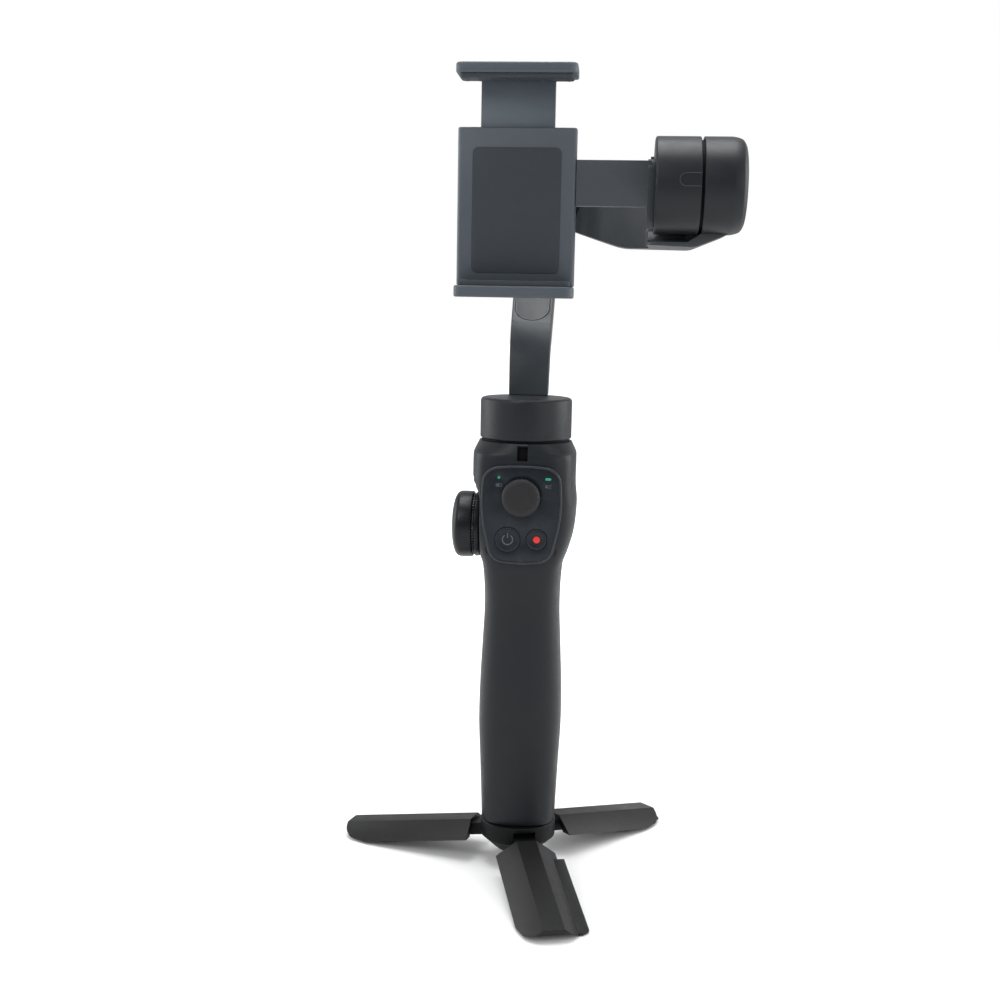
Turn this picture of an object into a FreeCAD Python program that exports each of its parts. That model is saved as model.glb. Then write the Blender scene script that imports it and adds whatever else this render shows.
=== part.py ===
import FreeCAD, Part
import math
import os

# Three-axis handheld stabiliser for a phone camera. A spring clamp hangs between a tilt, a roll
# and a pan motor on a moulded battery handle, and a folding mini tripod is screwed under the grip.
# Frame: +Z up along the pan axis, +Y away from the control side, origin on the ground.
V = FreeCAD.Vector

# ---- Handle ----
GRIP_BOTTOM_Z = 17.2
GRIP_LENGTH = 104.8
HEAD_HEIGHT = 41.3
SHELL_WALL = 2.0
FLOOR = 3.0
SHOULDER_Z_SHARE = 0.90
# Stations: share of the height, half width, front depth, rear depth, squareness of the front.
GRIP_STATIONS = (
    (0.00, 13.95, 11.6, 12.6, 0.74),
    (0.22, 14.9, 13.0, 14.2, 0.72),
    (0.37, 15.6, 14.0, 15.4, 0.70),
    (0.52, 15.4, 14.4, 15.8, 0.70),
    (0.67, 14.7, 14.5, 15.4, 0.72),
    (0.82, 14.1, 15.6, 14.8, 0.76),
)
HEAD_STATIONS = (
    (-0.10, 14.9, 18.2, 15.4, 0.86),
    (0.20, 18.7, 18.4, 16.6, 0.90),
    (0.46, 19.6, 18.8, 17.2, 0.90),
    (0.63, 19.0, 18.8, 17.4, 0.90),
    (SHOULDER_Z_SHARE, 19.0, 18.2, 17.6, 0.84),
)
REAR_SQUARENESS = 0.62
ROUND = 0.5523

# ---- Controls on the front of the head ----
PANEL_FRONT_Y = -19.3
PANEL_THICK = 3.0
PANEL_GAP = 0.05
RIM_WIDTH = 1.0
RIM_PROUD = 0.2
LEDGE = 1.2
BOARD_THICK = 1.2
BOARD_HALF_WIDTH = 11.0
BOARD_FRONT_Y = -12.1
STICK_CAP_R = 6.85
STICK_CAP_HEIGHT = 2.6
STICK_CAP_GAP = 2.3
STICK_STEM_R = 2.0
STICK_BALL_R = 2.4
STICK_RING_R = 4.2
STICK_RING_WALL = 1.2
STICK_PIN_R = 0.5
STICK_SWAY_DEG = 12.0
STICK_PIVOT_DEPTH = 2.0
MODULE_SIDE = 13.0
POWER_KEY_R = 4.3
RECORD_KEY_R = 3.5
KEY_GAP = 0.15
KEY_PROUD = 0.4
KEY_EDGE = 0.4
KEY_TRAVEL = 0.5
KEY_FLANGE = 0.7
KEY_FLANGE_THICK = 1.0
SWITCH_SIDE = 4.0
SWITCH_HEIGHT = 1.2
LIGHT_R = 0.6
LIGHT_LONG = 1.2
NOTCH_HALF_WIDTH = 1.9
NOTCH_HEIGHT = 5.5
NOTCH_DEPTH = 1.6

# ---- Side wheel ----
WHEEL_R = 12.4
WHEEL_GROOVE_R = 10.6
WHEEL_OUTER_X = -26.5
WHEEL_GROOVE_X = (-20.5, -19.4)
WHEEL_FACE_GAP = 0.5
RECESS_X = -15.4
AXLE_R = 2.0
AXLE_LENGTH = 9.0
RUNNING = 0.05
ENCODER_SIDE = 11.0
ENCODER_THICK = 4.6

# ---- Inside the handle ----
CELL_R = 9.15
CELL_LENGTH = 65.0
CELL_LIFT = 22.0
CRADLE_GAP = 0.2
CRADLE_WALL = 1.2
CONTACT_R = 3.0
CONTACT_LENGTH = 2.2
SOCKET_R = 5.0
SOCKET_LENGTH = 11.0
STUD_R = 3.15
STUD_RISE = 10.0
STUD_ROOT = 5.5
THREAD_GAP = 0.05
BOSS_WALL = 2.0
SCREW_R = 1.0
SCREW_HEAD_R = 1.9
SCREW_HEAD_H = 1.4
SCREW_LENGTH = 12.0
SCREW_GAP = 0.05
SCREW_BOSS_R = 2.5
SCREW_X = 8.9
SCREW_INSET = (8.4, 10.5)
PORT_WIDTH = 9.0
PORT_HEIGHT = 3.3
PORT_DEPTH = 7.0
PORT_WALL = 0.5
PORT_ROUND = 0.9

# ---- Motors, the same build in all three ----
MOTOR_R = 17.2
CUP_STEP = 0.3
MOTOR_WALL = 2.2
ROTOR_WALL = 2.3
NECK_STEP = 0.2
MOTOR_END = 2.5
CUP_HEIGHT = 15.0
CUP_GAP = 0.8
EDGE_ROUND = 1.2
SKIRT_WALL = 1.2
MAGNET_WALL = 0.7
AIR_GAP = 0.3
STATOR_HEIGHT = 7.0
TOOTH_COUNT = 9
TOOTH_WIDTH = 2.2
COIL_WIDTH = 3.9
COIL_R = (7.5, 11.0)
COIL_RISE = 0.8
BEARING_R = 4.0
BEARING_BORE_R = 2.0
BEARING_HEIGHT = 2.5
SEAT_GAP = 0.02
SHAFT_GAP = 0.03
POST_R = 5.2
FLANGE_R = 8.0
FLANGE_THICK = 1.2
POST_TAIL = 7.0

# ---- Frame arms ----
TILT_AXIS_RISE = 92.7
ARM_HALF_WIDTH = (7.35, 8.2)
ARM_BASE_Y = (9.8, 16.2)
ARM_KNEE_RISE = 20.5
ARM_KNEE_BACK = 3.4
ARM_THICK = 8.8
ARM_TOP_DROP = 13.0
ARM_BACK_STEP = 1.0
ARM_BENDS = (20.0, 30.0)
CLEARANCE = 1.0
COVER_THICK = 1.2
COVER_R = 6.4
COVER_LENGTH = 20.0
COVER_GAP = 0.1
COVER_RISE = 12.0
ROLL_FRONT_Y = 47.0
ROLL_CAP_LENGTH = 9.6
ROLL_HOUSING_LENGTH = 11.8
ROLL_GAP = 0.6
ROLL_ARM_THICK = 9.0
ROLL_ARM_BELOW = 21.7
ROLL_ARM_ABOVE = 12.0
ROLL_ARM_ROOT_X = 8.0
ROLL_ARM_STEP = 0.4
TILT_INNER_X = (44.2, 60.3)
TILT_OUTER_X = (61.3, 77.5)
TILT_END_ROUND = 3.6
TROUGH_GAP = 2.9
TROUGH_END = 0.5
TROUGH_CONE = 4.0
RUNNING_GAP = 0.4
TRAY_X = 42.0
TRAY_FRONT_Y = -3.0

# ---- Phone clamp ----
JAW_X = (-25.9, 16.5)
JAW_Y = (-18.5, -1.5)
JAW_OPENING = 68.8
JAW_THICK = (4.1, 3.6)
PAD_THICK = (2.1, 1.8)
PAD_INSET = 1.4
JAW_ROUND = 3.0
BACK_FRONT_Y = -8.0
BACK_HEIGHT = 55.6
BACK_WALL = 1.5
SLIDER_INSET = 8.0
SLIDER_Y = (-6.0, -3.5)
SLIDER_GAP = 0.3
SLIDER_ENGAGED = 34.0
FOOT_HEIGHT = 6.0
ROD_R = 1.0
ROD_INSET = 4.4
SPRING_R = 1.45
BRACKET_PLATE = 2.4
BRACKET_ROUND = 4.0
BRACKET_Y = (-8.0, 9.0)
BRACKET_Z = (-16.0, 8.8)
BAR_Y = (-7.6, -2.6)
BAR_HALF_HEIGHT = 8.0

# ---- Mini tripod ----
HUB_R = 14.3
HUB_RING_HEIGHT = 6.8
HUB_BOWL_R = 8.5
HUB_BOWL_HEIGHT = 5.0
LEG_AZIMUTHS = (("front", -76.0), ("right", 44.0), ("left", 164.0))
LEG_TUBE_R = 13.3
LEG_MID_FACET = 7.4
LEG_WALL = 2.0
LEG_EDGE_DEG = 58.7
LEG_ROOT = 8.5
LEG_LENGTH = 62.85
LEG_BOW = 10.2
LEG_BOW_STEP = 0.28
LEG_TIP_RISE = 1.4
LEG_TIP_DEPTH = 2.9
LEG_TIP_ROUND = 8.0
LEG_ROOT_ROUND = 3.0
LEG_ROOT_WALL = 5.0
LEG_DROOP_DEG = 10.0
PIVOT_R = 9.0
PIVOT_Z = 12.0
KNUCKLE_R = 3.2
KNUCKLE_HALF_WIDTH = 4.0
KNUCKLE_GAP = 0.2
PIN_R = 1.0
PIN_LENGTH = 13.0
LIP_Y = (9.4, 13.4)
LIP_THICK = 1.1
LIP_HEIGHT = -1.65
LIP_SPAN = (15.0, 59.5)
TOE_SPAN = (50.0, 63.4)
TOE_DEPTH = 0.8
PAD_SPAN = (42.0, 52.0)
PAD_HALF_WIDTH = 5.0

# ---- Places that follow from the sizes above ----
HEAD_Z = GRIP_BOTTOM_Z + GRIP_LENGTH
CUP_R = MOTOR_R - CUP_STEP
ROTOR_INNER_R = CUP_R - ROTOR_WALL
NECK_R = CUP_R + NECK_STEP
DECK_Z = HEAD_Z + HEAD_HEIGHT
CUP_Z = DECK_Z + CUP_GAP
CUP_TOP_Z = CUP_Z + CUP_HEIGHT
TILT_Z = DECK_Z + TILT_AXIS_RISE
PANEL_BACK_Y = PANEL_FRONT_Y + PANEL_THICK
STICK_Z = HEAD_Z + 22.6
STICK_PIVOT_Y = PANEL_BACK_Y + STICK_PIVOT_DEPTH
POWER_KEY = (-4.7, HEAD_Z + 6.9)
RECORD_KEY = (5.8, HEAD_Z + 7.1)
LIGHTS = ((-8.2, HEAD_Z + 29.4, 0.0), (9.6, HEAD_Z + 29.2, LIGHT_LONG))
WHEEL_Z = HEAD_Z + 9.1
PORT_Z = HEAD_Z + 20.0
CELL_Z = GRIP_BOTTOM_Z + CELL_LIFT
ROLL_SPLIT_Y = ROLL_FRONT_Y + ROLL_CAP_LENGTH
ROLL_HOUSING_Y = ROLL_SPLIT_Y + ROLL_GAP
ROLL_BACK_Y = ROLL_HOUSING_Y + ROLL_HOUSING_LENGTH
CLAMP_Z = TILT_Z - 0.1
LOWER_PAD_Z = CLAMP_Z - JAW_OPENING / 2
UPPER_PAD_Z = CLAMP_Z + JAW_OPENING / 2
LOWER_JAW_Z = LOWER_PAD_Z - PAD_THICK[0]
UPPER_JAW_Z = UPPER_PAD_Z + PAD_THICK[1]
BACK_TOP_Z = LOWER_JAW_Z + BACK_HEIGHT
HUB_Z = GRIP_BOTTOM_Z - HUB_RING_HEIGHT
FAR = 200.0

# Outlines of the roll arm as (across, along, corner rounding), from above and from the front.
ROLL_ARM_BACK_Y = ROLL_FRONT_Y + ROLL_ARM_THICK
ROLL_ARM_END_X = TILT_OUTER_X[1] - ROLL_ARM_STEP
ROLL_ARM_LOW = TILT_Z - ROLL_ARM_BELOW
ROLL_ARM_HIGH = TILT_Z + ROLL_ARM_ABOVE
ROLL_ARM_PLAN = [
    (ROLL_ARM_ROOT_X, ROLL_FRONT_Y + 0.6, 0), (22, ROLL_FRONT_Y + 0.6, 14), (TRAY_X + 2, 30, 5),
    (TRAY_X, TRAY_FRONT_Y, 4), (ROLL_ARM_END_X, TRAY_FRONT_Y, 0), (ROLL_ARM_END_X, 18, 10),
    (TILT_OUTER_X[1] - 14, 29, 14), (26, ROLL_ARM_BACK_Y, 20), (ROLL_ARM_ROOT_X, ROLL_ARM_BACK_Y, 0)]
ROLL_ARM_FACE = [
    (ROLL_ARM_ROOT_X, TILT_Z - 12, 0), (34, ROLL_ARM_LOW + 1, 20), (TILT_OUTER_X[0] - 2, ROLL_ARM_LOW, 8),
    (TILT_OUTER_X[0] + 10.5, ROLL_ARM_LOW + 5, 6), (ROLL_ARM_END_X, ROLL_ARM_LOW + 12, 0),
    (ROLL_ARM_END_X, ROLL_ARM_HIGH - 5, 5), (TILT_OUTER_X[0] - 6, ROLL_ARM_HIGH, 10),
    (ROLL_ARM_ROOT_X, TILT_Z + 11, 0)]


# ---- Drawing helpers ----
def outline(corners):
    """Closed wire in the XY plane through (x, y, radius) corners, each rounded to its radius."""
    points = [V(x, y, 0) for x, y, radius in corners]
    starts, arcs = [], []
    for i, here in enumerate(points):
        radius = corners[i][2]
        back = (points[i - 1] - here).normalize()
        on = (points[(i + 1) % len(points)] - here).normalize()
        half = back.getAngle(on) / 2
        run = radius / math.tan(half)
        start, end = here + back * run, here + on * run
        middle = here
        if radius:
            middle = here + (back + on).normalize() * (radius / math.sin(half) - radius)
        starts.append(start)
        arcs.append((start, middle, end, radius))
    edges = []
    for i, (start, middle, end, radius) in enumerate(arcs):
        if radius:
            edges.append(Part.Arc(start, middle, end).toShape())
        following = starts[(i + 1) % len(starts)]
        if end.distanceToPoint(following) > 1e-6:
            edges.append(Part.makeLine(end, following))
    return Part.Wire(edges)


def grown(corners, by):
    """The same convex outline, drawn anticlockwise, moved outwards by a distance."""
    points = [V(x, y, 0) for x, y, radius in corners]
    result = []
    for i, here in enumerate(points):
        back = (points[i - 1] - here).normalize()
        on = (points[(i + 1) % len(points)] - here).normalize()
        half = back.getAngle(on) / 2
        away = (back + on).normalize() * (-by / math.sin(half))
        moved = here + away
        result.append((moved.x, moved.y, corners[i][2] + by))
    return result


def slab(corners, low, high, across="z"):
    """An outline made solid between two planes across X, Y or Z.

    The outline's own axes are X and Y across Z, X and Z across Y, and Y and Z across X.
    """
    solid = Part.Face(outline(corners)).extrude(V(0, 0, high - low))
    if across == "y":
        solid.translate(V(0, 0, -high))
        solid.rotate(V(), V(1, 0, 0), 90)
        return solid
    solid.translate(V(0, 0, low))
    if across == "x":
        solid.rotate(V(), V(1, 1, 1), 120)
    return solid


def rectangle(x, y, radius=0.0):
    return [(x[0], y[0], radius), (x[1], y[0], radius), (x[1], y[1], radius), (x[0], y[1], radius)]


def block(x, y, z):
    corner = V(x[0], y[0], z[0])
    return Part.makeBox(x[1] - x[0], y[1] - y[0], z[1] - z[0], corner)


def rod(radius, start, end):
    """Cylinder between two points."""
    line = V(*end) - V(*start)
    return Part.makeCylinder(radius, line.Length, V(*start), line)


def tube(outer, inner, start, end):
    return rod(outer, start, end).cut(rod(inner, start, end))


def turned(corners):
    """Solid of revolution about Z from a (radius, height, rounding) outline."""
    solid = Part.Face(outline(corners)).revolve(V(), V(0, 1, 0), 360)
    solid.rotate(V(), V(1, 0, 0), 90)
    return solid


def placed(shape, origin, axis):
    """A shape drawn about +Z, moved so that its origin and Z axis lie as given."""
    moved = shape.copy()
    place = FreeCAD.Placement(V(*origin), FreeCAD.Rotation(V(0, 0, 1), V(*axis)))
    moved.Placement = place.multiply(moved.Placement)
    return moved


def fused(shapes):
    return shapes[0].fuse(shapes[1:]).removeSplitter() if len(shapes) > 1 else shapes[0]


# ---- Handle shells ----
def section(z, half_width, front, rear, squareness):
    """One closed ring of four curves round the handle."""
    corners = ((half_width, -front, squareness), (-half_width, -front, squareness),
               (-half_width, rear, REAR_SQUARENESS), (half_width, rear, REAR_SQUARENESS))
    edges = []
    for i, (side, depth, full) in enumerate(corners):
        at_side = [V(side, 0, z), V(side, depth * full, z), V(side * full, depth, z), V(0, depth, z)]
        curve = Part.BezierCurve()
        curve.setPoles(at_side if i % 2 == 0 else at_side[::-1])
        edges.append(curve.toShape())
    return Part.Wire(edges)


def neck(z, radius):
    """The round ring that the handle ends in under the pan motor."""
    edges = []
    for i, (side, depth) in enumerate(((1, -1), (-1, -1), (-1, 1), (1, 1))):
        at_side = [V(side * radius, 0, z), V(side * radius, depth * radius * ROUND, z),
                   V(side * radius * ROUND, depth * radius, z), V(0, depth * radius, z)]
        curve = Part.BezierCurve()
        curve.setPoles(at_side if i % 2 == 0 else at_side[::-1])
        edges.append(curve.toShape())
    return Part.Wire(edges)


def stations(inset, bottom, top):
    """Sections up the handle, drawn in by an inset, between a bottom and a top height."""
    heights = [(GRIP_BOTTOM_Z + share * GRIP_LENGTH, *rest) for share, *rest in GRIP_STATIONS]
    heights += [(HEAD_Z + share * HEAD_HEIGHT, *rest) for share, *rest in HEAD_STATIONS]
    rings = []
    for z, half_width, front, rear, squareness in heights:
        height = min(max(z, bottom), top)
        rings.append(section(height, half_width - inset, front - inset, rear - inset, squareness))
    return rings


def wheel_recess(shift=0.0):
    """The flat on the left of the head that the side wheel sits against."""
    x = RECESS_X + shift
    out = WHEEL_OUTER_X - 10
    corners = [(out, HEAD_Z - 14, 0), (x, HEAD_Z - 14, 0), (x, HEAD_Z + 23, 10),
               (x - 4.6, HEAD_Z + 33, 6), (out, HEAD_Z + 33, 0)]
    return slab(corners, -FAR, FAR, "y")


def handle_body():
    shoulder = HEAD_Z + SHOULDER_Z_SHARE * HEAD_HEIGHT
    rings = stations(0, GRIP_BOTTOM_Z, shoulder)
    lower = Part.makeLoft(rings, True, False)
    upper = Part.makeLoft([rings[-1], neck(DECK_Z, NECK_R)], True, True)
    return lower.fuse(upper).cut(wheel_recess())


def handle_cavity():
    ceiling = HEAD_Z + SHOULDER_Z_SHARE * HEAD_HEIGHT
    rings = stations(SHELL_WALL, GRIP_BOTTOM_Z + FLOOR, ceiling)
    return Part.makeLoft(rings, True, False).cut(wheel_recess(SHELL_WALL))


def panel_corners():
    return [(-10.9, HEAD_Z - 1.8, 5), (0, HEAD_Z - 3.0, 40), (10.9, HEAD_Z - 1.8, 5),
            (15.0, HEAD_Z + 16, 40), (14.1, HEAD_Z + 33.2, 5), (0, HEAD_Z + 34.9, 60),
            (-14.1, HEAD_Z + 33.2, 5), (-15.0, HEAD_Z + 16, 40)]


def screw_places():
    low, middle = GRIP_BOTTOM_Z + SCREW_INSET[0], HEAD_Z - SCREW_INSET[1]
    return [(SCREW_X * side, z) for z in (low, middle) for side in (-1, 1)]


def socket_boss():
    top = GRIP_BOTTOM_Z + FLOOR + SOCKET_LENGTH - 2
    return rod(SOCKET_R + THREAD_GAP + BOSS_WALL, (0, 0, GRIP_BOTTOM_Z), (0, 0, top))


def handle_shells():
    """Front and rear halves of the handle, with their bosses, openings and panel rim."""
    body, cavity = handle_body(), handle_cavity()
    front_half = block((-FAR, FAR), (-FAR, 0), (-FAR, 2 * FAR))
    rear_half = block((-FAR, FAR), (0, FAR), (-FAR, 2 * FAR))
    bosses = [socket_boss()]
    bosses += [rod(SCREW_BOSS_R, (x, -FAR, z), (x, FAR, z)) for x, z in screw_places()]
    inside = cavity.cut(fused(bosses))
    shell = body.cut(inside)
    bottom = GRIP_BOTTOM_Z - 1
    top = GRIP_BOTTOM_Z + FLOOR + SOCKET_LENGTH
    shell = shell.cut(rod(SOCKET_R + THREAD_GAP, (0, 0, GRIP_BOTTOM_Z + 1), (0, 0, top)))
    shell = shell.cut(rod(STUD_R + THREAD_GAP, (0, 0, bottom), (0, 0, top)))
    shell = shell.cut(rod(POST_R + SEAT_GAP, (0, 0, HEAD_Z), (0, 0, DECK_Z + 1)))
    shell = shell.cut(rod(AXLE_R + KEY_GAP, (WHEEL_OUTER_X, 0, WHEEL_Z), (0, 0, WHEEL_Z)))
    front, rear = shell.common(front_half), shell.common(rear_half)

    rim = slab(grown(panel_corners(), RIM_WIDTH), PANEL_FRONT_Y - RIM_PROUD, PANEL_BACK_Y + LEDGE, "y")
    front = front.fuse(rim)
    front = front.cut(slab(grown(panel_corners(), PANEL_GAP), -FAR, PANEL_BACK_Y, "y"))
    front = front.cut(slab(grown(panel_corners(), -LEDGE), -FAR, PANEL_BACK_Y + LEDGE + 1, "y"))
    front = front.cut(wheel_recess())
    notch_top = DECK_Z - 1
    notch = block((-NOTCH_HALF_WIDTH, NOTCH_HALF_WIDTH), (-FAR, NOTCH_DEPTH - HEAD_STATIONS[-1][2]),
                  (notch_top - NOTCH_HEIGHT, notch_top))
    front = front.cut(notch)

    for x, z in screw_places():
        front = front.cut(rod(SCREW_R + SCREW_GAP, (x, -5, z), (x, 0, z)))
        rear = rear.cut(rod(SCREW_R + SCREW_GAP, (x, 0, z), (x, FAR, z)))
        seat = SCREW_LENGTH - 5 + SCREW_GAP
        rear = rear.cut(rod(SCREW_HEAD_R + SCREW_GAP, (x, seat, z), (x, FAR, z)))
    port = rectangle((-PORT_WIDTH / 2 - KEY_GAP, PORT_WIDTH / 2 + KEY_GAP),
                     (PORT_Z - PORT_HEIGHT / 2 - KEY_GAP, PORT_Z + PORT_HEIGHT / 2 + KEY_GAP), 1.0)
    rear = rear.cut(slab(port, 0, FAR, "y"))
    return front, rear


def shell_screws():
    screws = []
    for x, z in screw_places():
        seat = SCREW_LENGTH - 5 + 2 * SCREW_GAP
        shank = rod(SCREW_R, (x, -4.5, z), (x, seat, z))
        head = rod(SCREW_HEAD_R, (x, seat, z), (x, seat + SCREW_HEAD_H, z))
        slot = block((x - 0.3, x + 0.3), (seat + SCREW_HEAD_H - 0.6, FAR), (z - 1.2, z + 1.2))
        screws.append(shank.fuse(head).cut(slot).removeSplitter())
    return Part.makeCompound(screws)


# ---- Controls ----
def control_panel():
    plate = slab(panel_corners(), PANEL_FRONT_Y, PANEL_BACK_Y, "y")
    corner_sway_deg = STICK_SWAY_DEG * math.sqrt(2)
    sway = math.tan(math.radians(corner_sway_deg)) * (STICK_PIVOT_Y - PANEL_FRONT_Y)
    holes = [rod(STICK_STEM_R + sway + 0.4, (0, -FAR, STICK_Z), (0, 0, STICK_Z))]
    for (x, z), radius in ((POWER_KEY, POWER_KEY_R), (RECORD_KEY, RECORD_KEY_R)):
        holes.append(rod(radius + KEY_GAP, (x, -FAR, z), (x, 0, z)))
    for x, z, long in LIGHTS:
        holes.append(light(x, z, long, PANEL_GAP, -FAR, 0))
    return plate.cut(fused(holes))


def light(x, z, long, gap, front, back):
    """One light guide, round or drawn out sideways."""
    if not long:
        return rod(LIGHT_R + gap, (x, front, z), (x, back, z))
    reach = LIGHT_R + gap
    return slab(rectangle((x - long - gap, x + long + gap), (z - reach, z + reach), reach * 0.98),
                front, back, "y")


def indicator_lights():
    return Part.makeCompound([light(x, z, long, 0, PANEL_FRONT_Y - 0.05, BOARD_FRONT_Y)
                              for x, z, long in LIGHTS])


def main_circuit_board():
    corners = rectangle((-BOARD_HALF_WIDTH, BOARD_HALF_WIDTH), (HEAD_Z, HEAD_Z + 35.5), 1.5)
    return slab(corners, BOARD_FRONT_Y, BOARD_FRONT_Y + BOARD_THICK, "y")


def key(place, radius):
    x, z = place
    front = PANEL_FRONT_Y - KEY_PROUD
    flange_front = PANEL_BACK_Y + KEY_GAP
    flange_back = flange_front + KEY_FLANGE_THICK
    height = flange_front - front
    cap = turned([(0, 0, 0), (radius, 0, 0), (radius, height, KEY_EDGE), (0, height, 0)])
    cap = placed(cap, (x, flange_front, z), (0, -1, 0))
    flange = rod(radius + KEY_FLANGE, (x, flange_front, z), (x, flange_back, z))
    tip = BOARD_FRONT_Y - SWITCH_HEIGHT - KEY_TRAVEL - 0.1
    stem = rod(1.2, (x, flange_back, z), (x, tip, z))
    return fused([cap, flange, stem])


def key_switches():
    switches = []
    for x, z in (POWER_KEY, RECORD_KEY):
        half = SWITCH_SIDE / 2
        switches.append(block((x - half, x + half), (BOARD_FRONT_Y - SWITCH_HEIGHT, BOARD_FRONT_Y),
                              (z - half, z + half)))
    return Part.makeCompound(switches)


def joystick_module():
    """Open frame on the board that carries the joystick's outer pivots."""
    half = MODULE_SIDE / 2
    front, back = PANEL_BACK_Y + 0.2, BOARD_FRONT_Y
    frame = slab(rectangle((-half, half), (STICK_Z - half, STICK_Z + half), 1), front, back, "y")
    frame = frame.cut(rod(STICK_RING_R + 0.6, (0, front - 1, STICK_Z), (0, back + 1, STICK_Z)))
    pin = STICK_PIN_R + RUNNING
    return frame.cut(rod(pin, (-half + 0.8, STICK_PIVOT_Y, STICK_Z), (half - 0.8, STICK_PIVOT_Y, STICK_Z)))


def joystick_ring():
    """Middle ring of the joystick: turns about X in the frame and carries the stick's pins."""
    half = 0.9
    inner = STICK_RING_R - STICK_RING_WALL
    ring = tube(STICK_RING_R, inner, (0, STICK_PIVOT_Y - half, STICK_Z), (0, STICK_PIVOT_Y + half, STICK_Z))
    for side in (-1, 1):
        root, tip = side * (inner + 0.3), side * (MODULE_SIDE / 2 - 1)
        ring = ring.fuse(rod(STICK_PIN_R, (root, STICK_PIVOT_Y, STICK_Z), (tip, STICK_PIVOT_Y, STICK_Z)))
    bore = STICK_PIN_R + RUNNING
    return ring.cut(rod(bore, (0, STICK_PIVOT_Y, STICK_Z - 9), (0, STICK_PIVOT_Y, STICK_Z + 9)))


def joystick_cap():
    """Thumb cap, stem, ball and the ball's two pins."""
    cap_back = PANEL_FRONT_Y - STICK_CAP_GAP
    cap = turned([(0, 0, 0), (STICK_CAP_R, 0, 0.4), (STICK_CAP_R, STICK_CAP_HEIGHT, 0.8),
                  (0, STICK_CAP_HEIGHT, 0)])
    cap = placed(cap, (0, cap_back, STICK_Z), (0, -1, 0))
    stem = rod(STICK_STEM_R, (0, cap_back, STICK_Z), (0, STICK_PIVOT_Y, STICK_Z))
    ball = Part.makeSphere(STICK_BALL_R, V(0, STICK_PIVOT_Y, STICK_Z))
    reach = STICK_RING_R - 0.2
    pins = rod(STICK_PIN_R, (0, STICK_PIVOT_Y, STICK_Z - reach), (0, STICK_PIVOT_Y, STICK_Z + reach))
    flat = block((-5, 5), (STICK_PIVOT_Y + 1.1, 0), (STICK_Z - 5, STICK_Z + 5))
    return fused([cap, stem, ball, pins]).cut(flat)


def zoom_wheel():
    """Side wheel: domed outer disc, groove and inner disc on a short axle."""
    inner_x = RECESS_X - WHEEL_FACE_GAP
    length = inner_x - WHEEL_OUTER_X
    groove = [inner_x - x for x in WHEEL_GROOVE_X[::-1]]
    wheel = turned([(0, 0, 0), (WHEEL_R, 0, 0.6), (WHEEL_R, groove[0], 0.3), (WHEEL_GROOVE_R, groove[0], 0),
                    (WHEEL_GROOVE_R, groove[1], 0), (WHEEL_R, groove[1], 0.5), (WHEEL_R, length - 2.2, 2),
                    (WHEEL_R - 4, length, 3), (0, length, 0)])
    axle = rod(AXLE_R, (0, 0, 0), (0, 0, -AXLE_LENGTH))
    return placed(wheel.fuse(axle), (inner_x, 0, WHEEL_Z), (-1, 0, 0))


def wheel_encoder():
    """Bearing block and encoder that the wheel's axle turns in."""
    x = RECESS_X + SHELL_WALL
    half = ENCODER_SIDE / 2
    body = slab(rectangle((-half, half), (WHEEL_Z - half, WHEEL_Z + half), 1), x, x + ENCODER_THICK, "x")
    return body.cut(rod(AXLE_R + RUNNING, (x - 1, 0, WHEEL_Z), (x + FAR, 0, WHEEL_Z)))


# ---- Battery and sockets ----
def battery_cell():
    body = turned([(0, 0, 0), (CELL_R, 0, 0.6), (CELL_R, CELL_LENGTH, 0.6), (0, CELL_LENGTH, 0)])
    return placed(body, (0, 0, CELL_Z), (0, 0, 1))


def battery_cradle():
    """Trough behind the cell with an end plate and a contact at each end."""
    inner = CELL_R + CRADLE_GAP
    outer = inner + CRADLE_WALL
    low, high = CELL_Z - CONTACT_LENGTH, CELL_Z + CELL_LENGTH + CONTACT_LENGTH
    trough = tube(outer, inner, (0, 0, low - CRADLE_WALL), (0, 0, high + CRADLE_WALL))
    trough = trough.common(block((-FAR, FAR), (0, FAR), (0, FAR)))
    ends = [rod(inner + SEAT_GAP, (0, 0, z), (0, 0, z + CRADLE_WALL)) for z in (low - CRADLE_WALL, high)]
    contacts = [rod(CONTACT_R, (0, 0, low), (0, 0, CELL_Z)),
                rod(CONTACT_R, (0, 0, CELL_Z + CELL_LENGTH), (0, 0, high))]
    return Part.makeCompound([fused([trough] + ends)] + contacts)


def tripod_socket():
    low = GRIP_BOTTOM_Z + 1 + THREAD_GAP
    high = GRIP_BOTTOM_Z + FLOOR + SOCKET_LENGTH - 2
    return tube(SOCKET_R, STUD_R + THREAD_GAP, (0, 0, low), (0, 0, high))


def charging_socket():
    heights = (PORT_Z - PORT_HEIGHT / 2, PORT_Z + PORT_HEIGHT / 2)
    outer = rectangle((-PORT_WIDTH / 2, PORT_WIDTH / 2), heights, PORT_ROUND)
    back = HEAD_STATIONS[2][3] - 0.8
    shell = slab(outer, back - PORT_DEPTH, back, "y")
    hollow = slab(grown(outer, -PORT_WALL), back - PORT_DEPTH + 1, back + 1, "y")
    tongue = block((-3.2, 3.2), (back - PORT_DEPTH + 1, back - 1.5), (PORT_Z - 0.35, PORT_Z + 0.35))
    return shell.cut(hollow).fuse(tongue)


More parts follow.
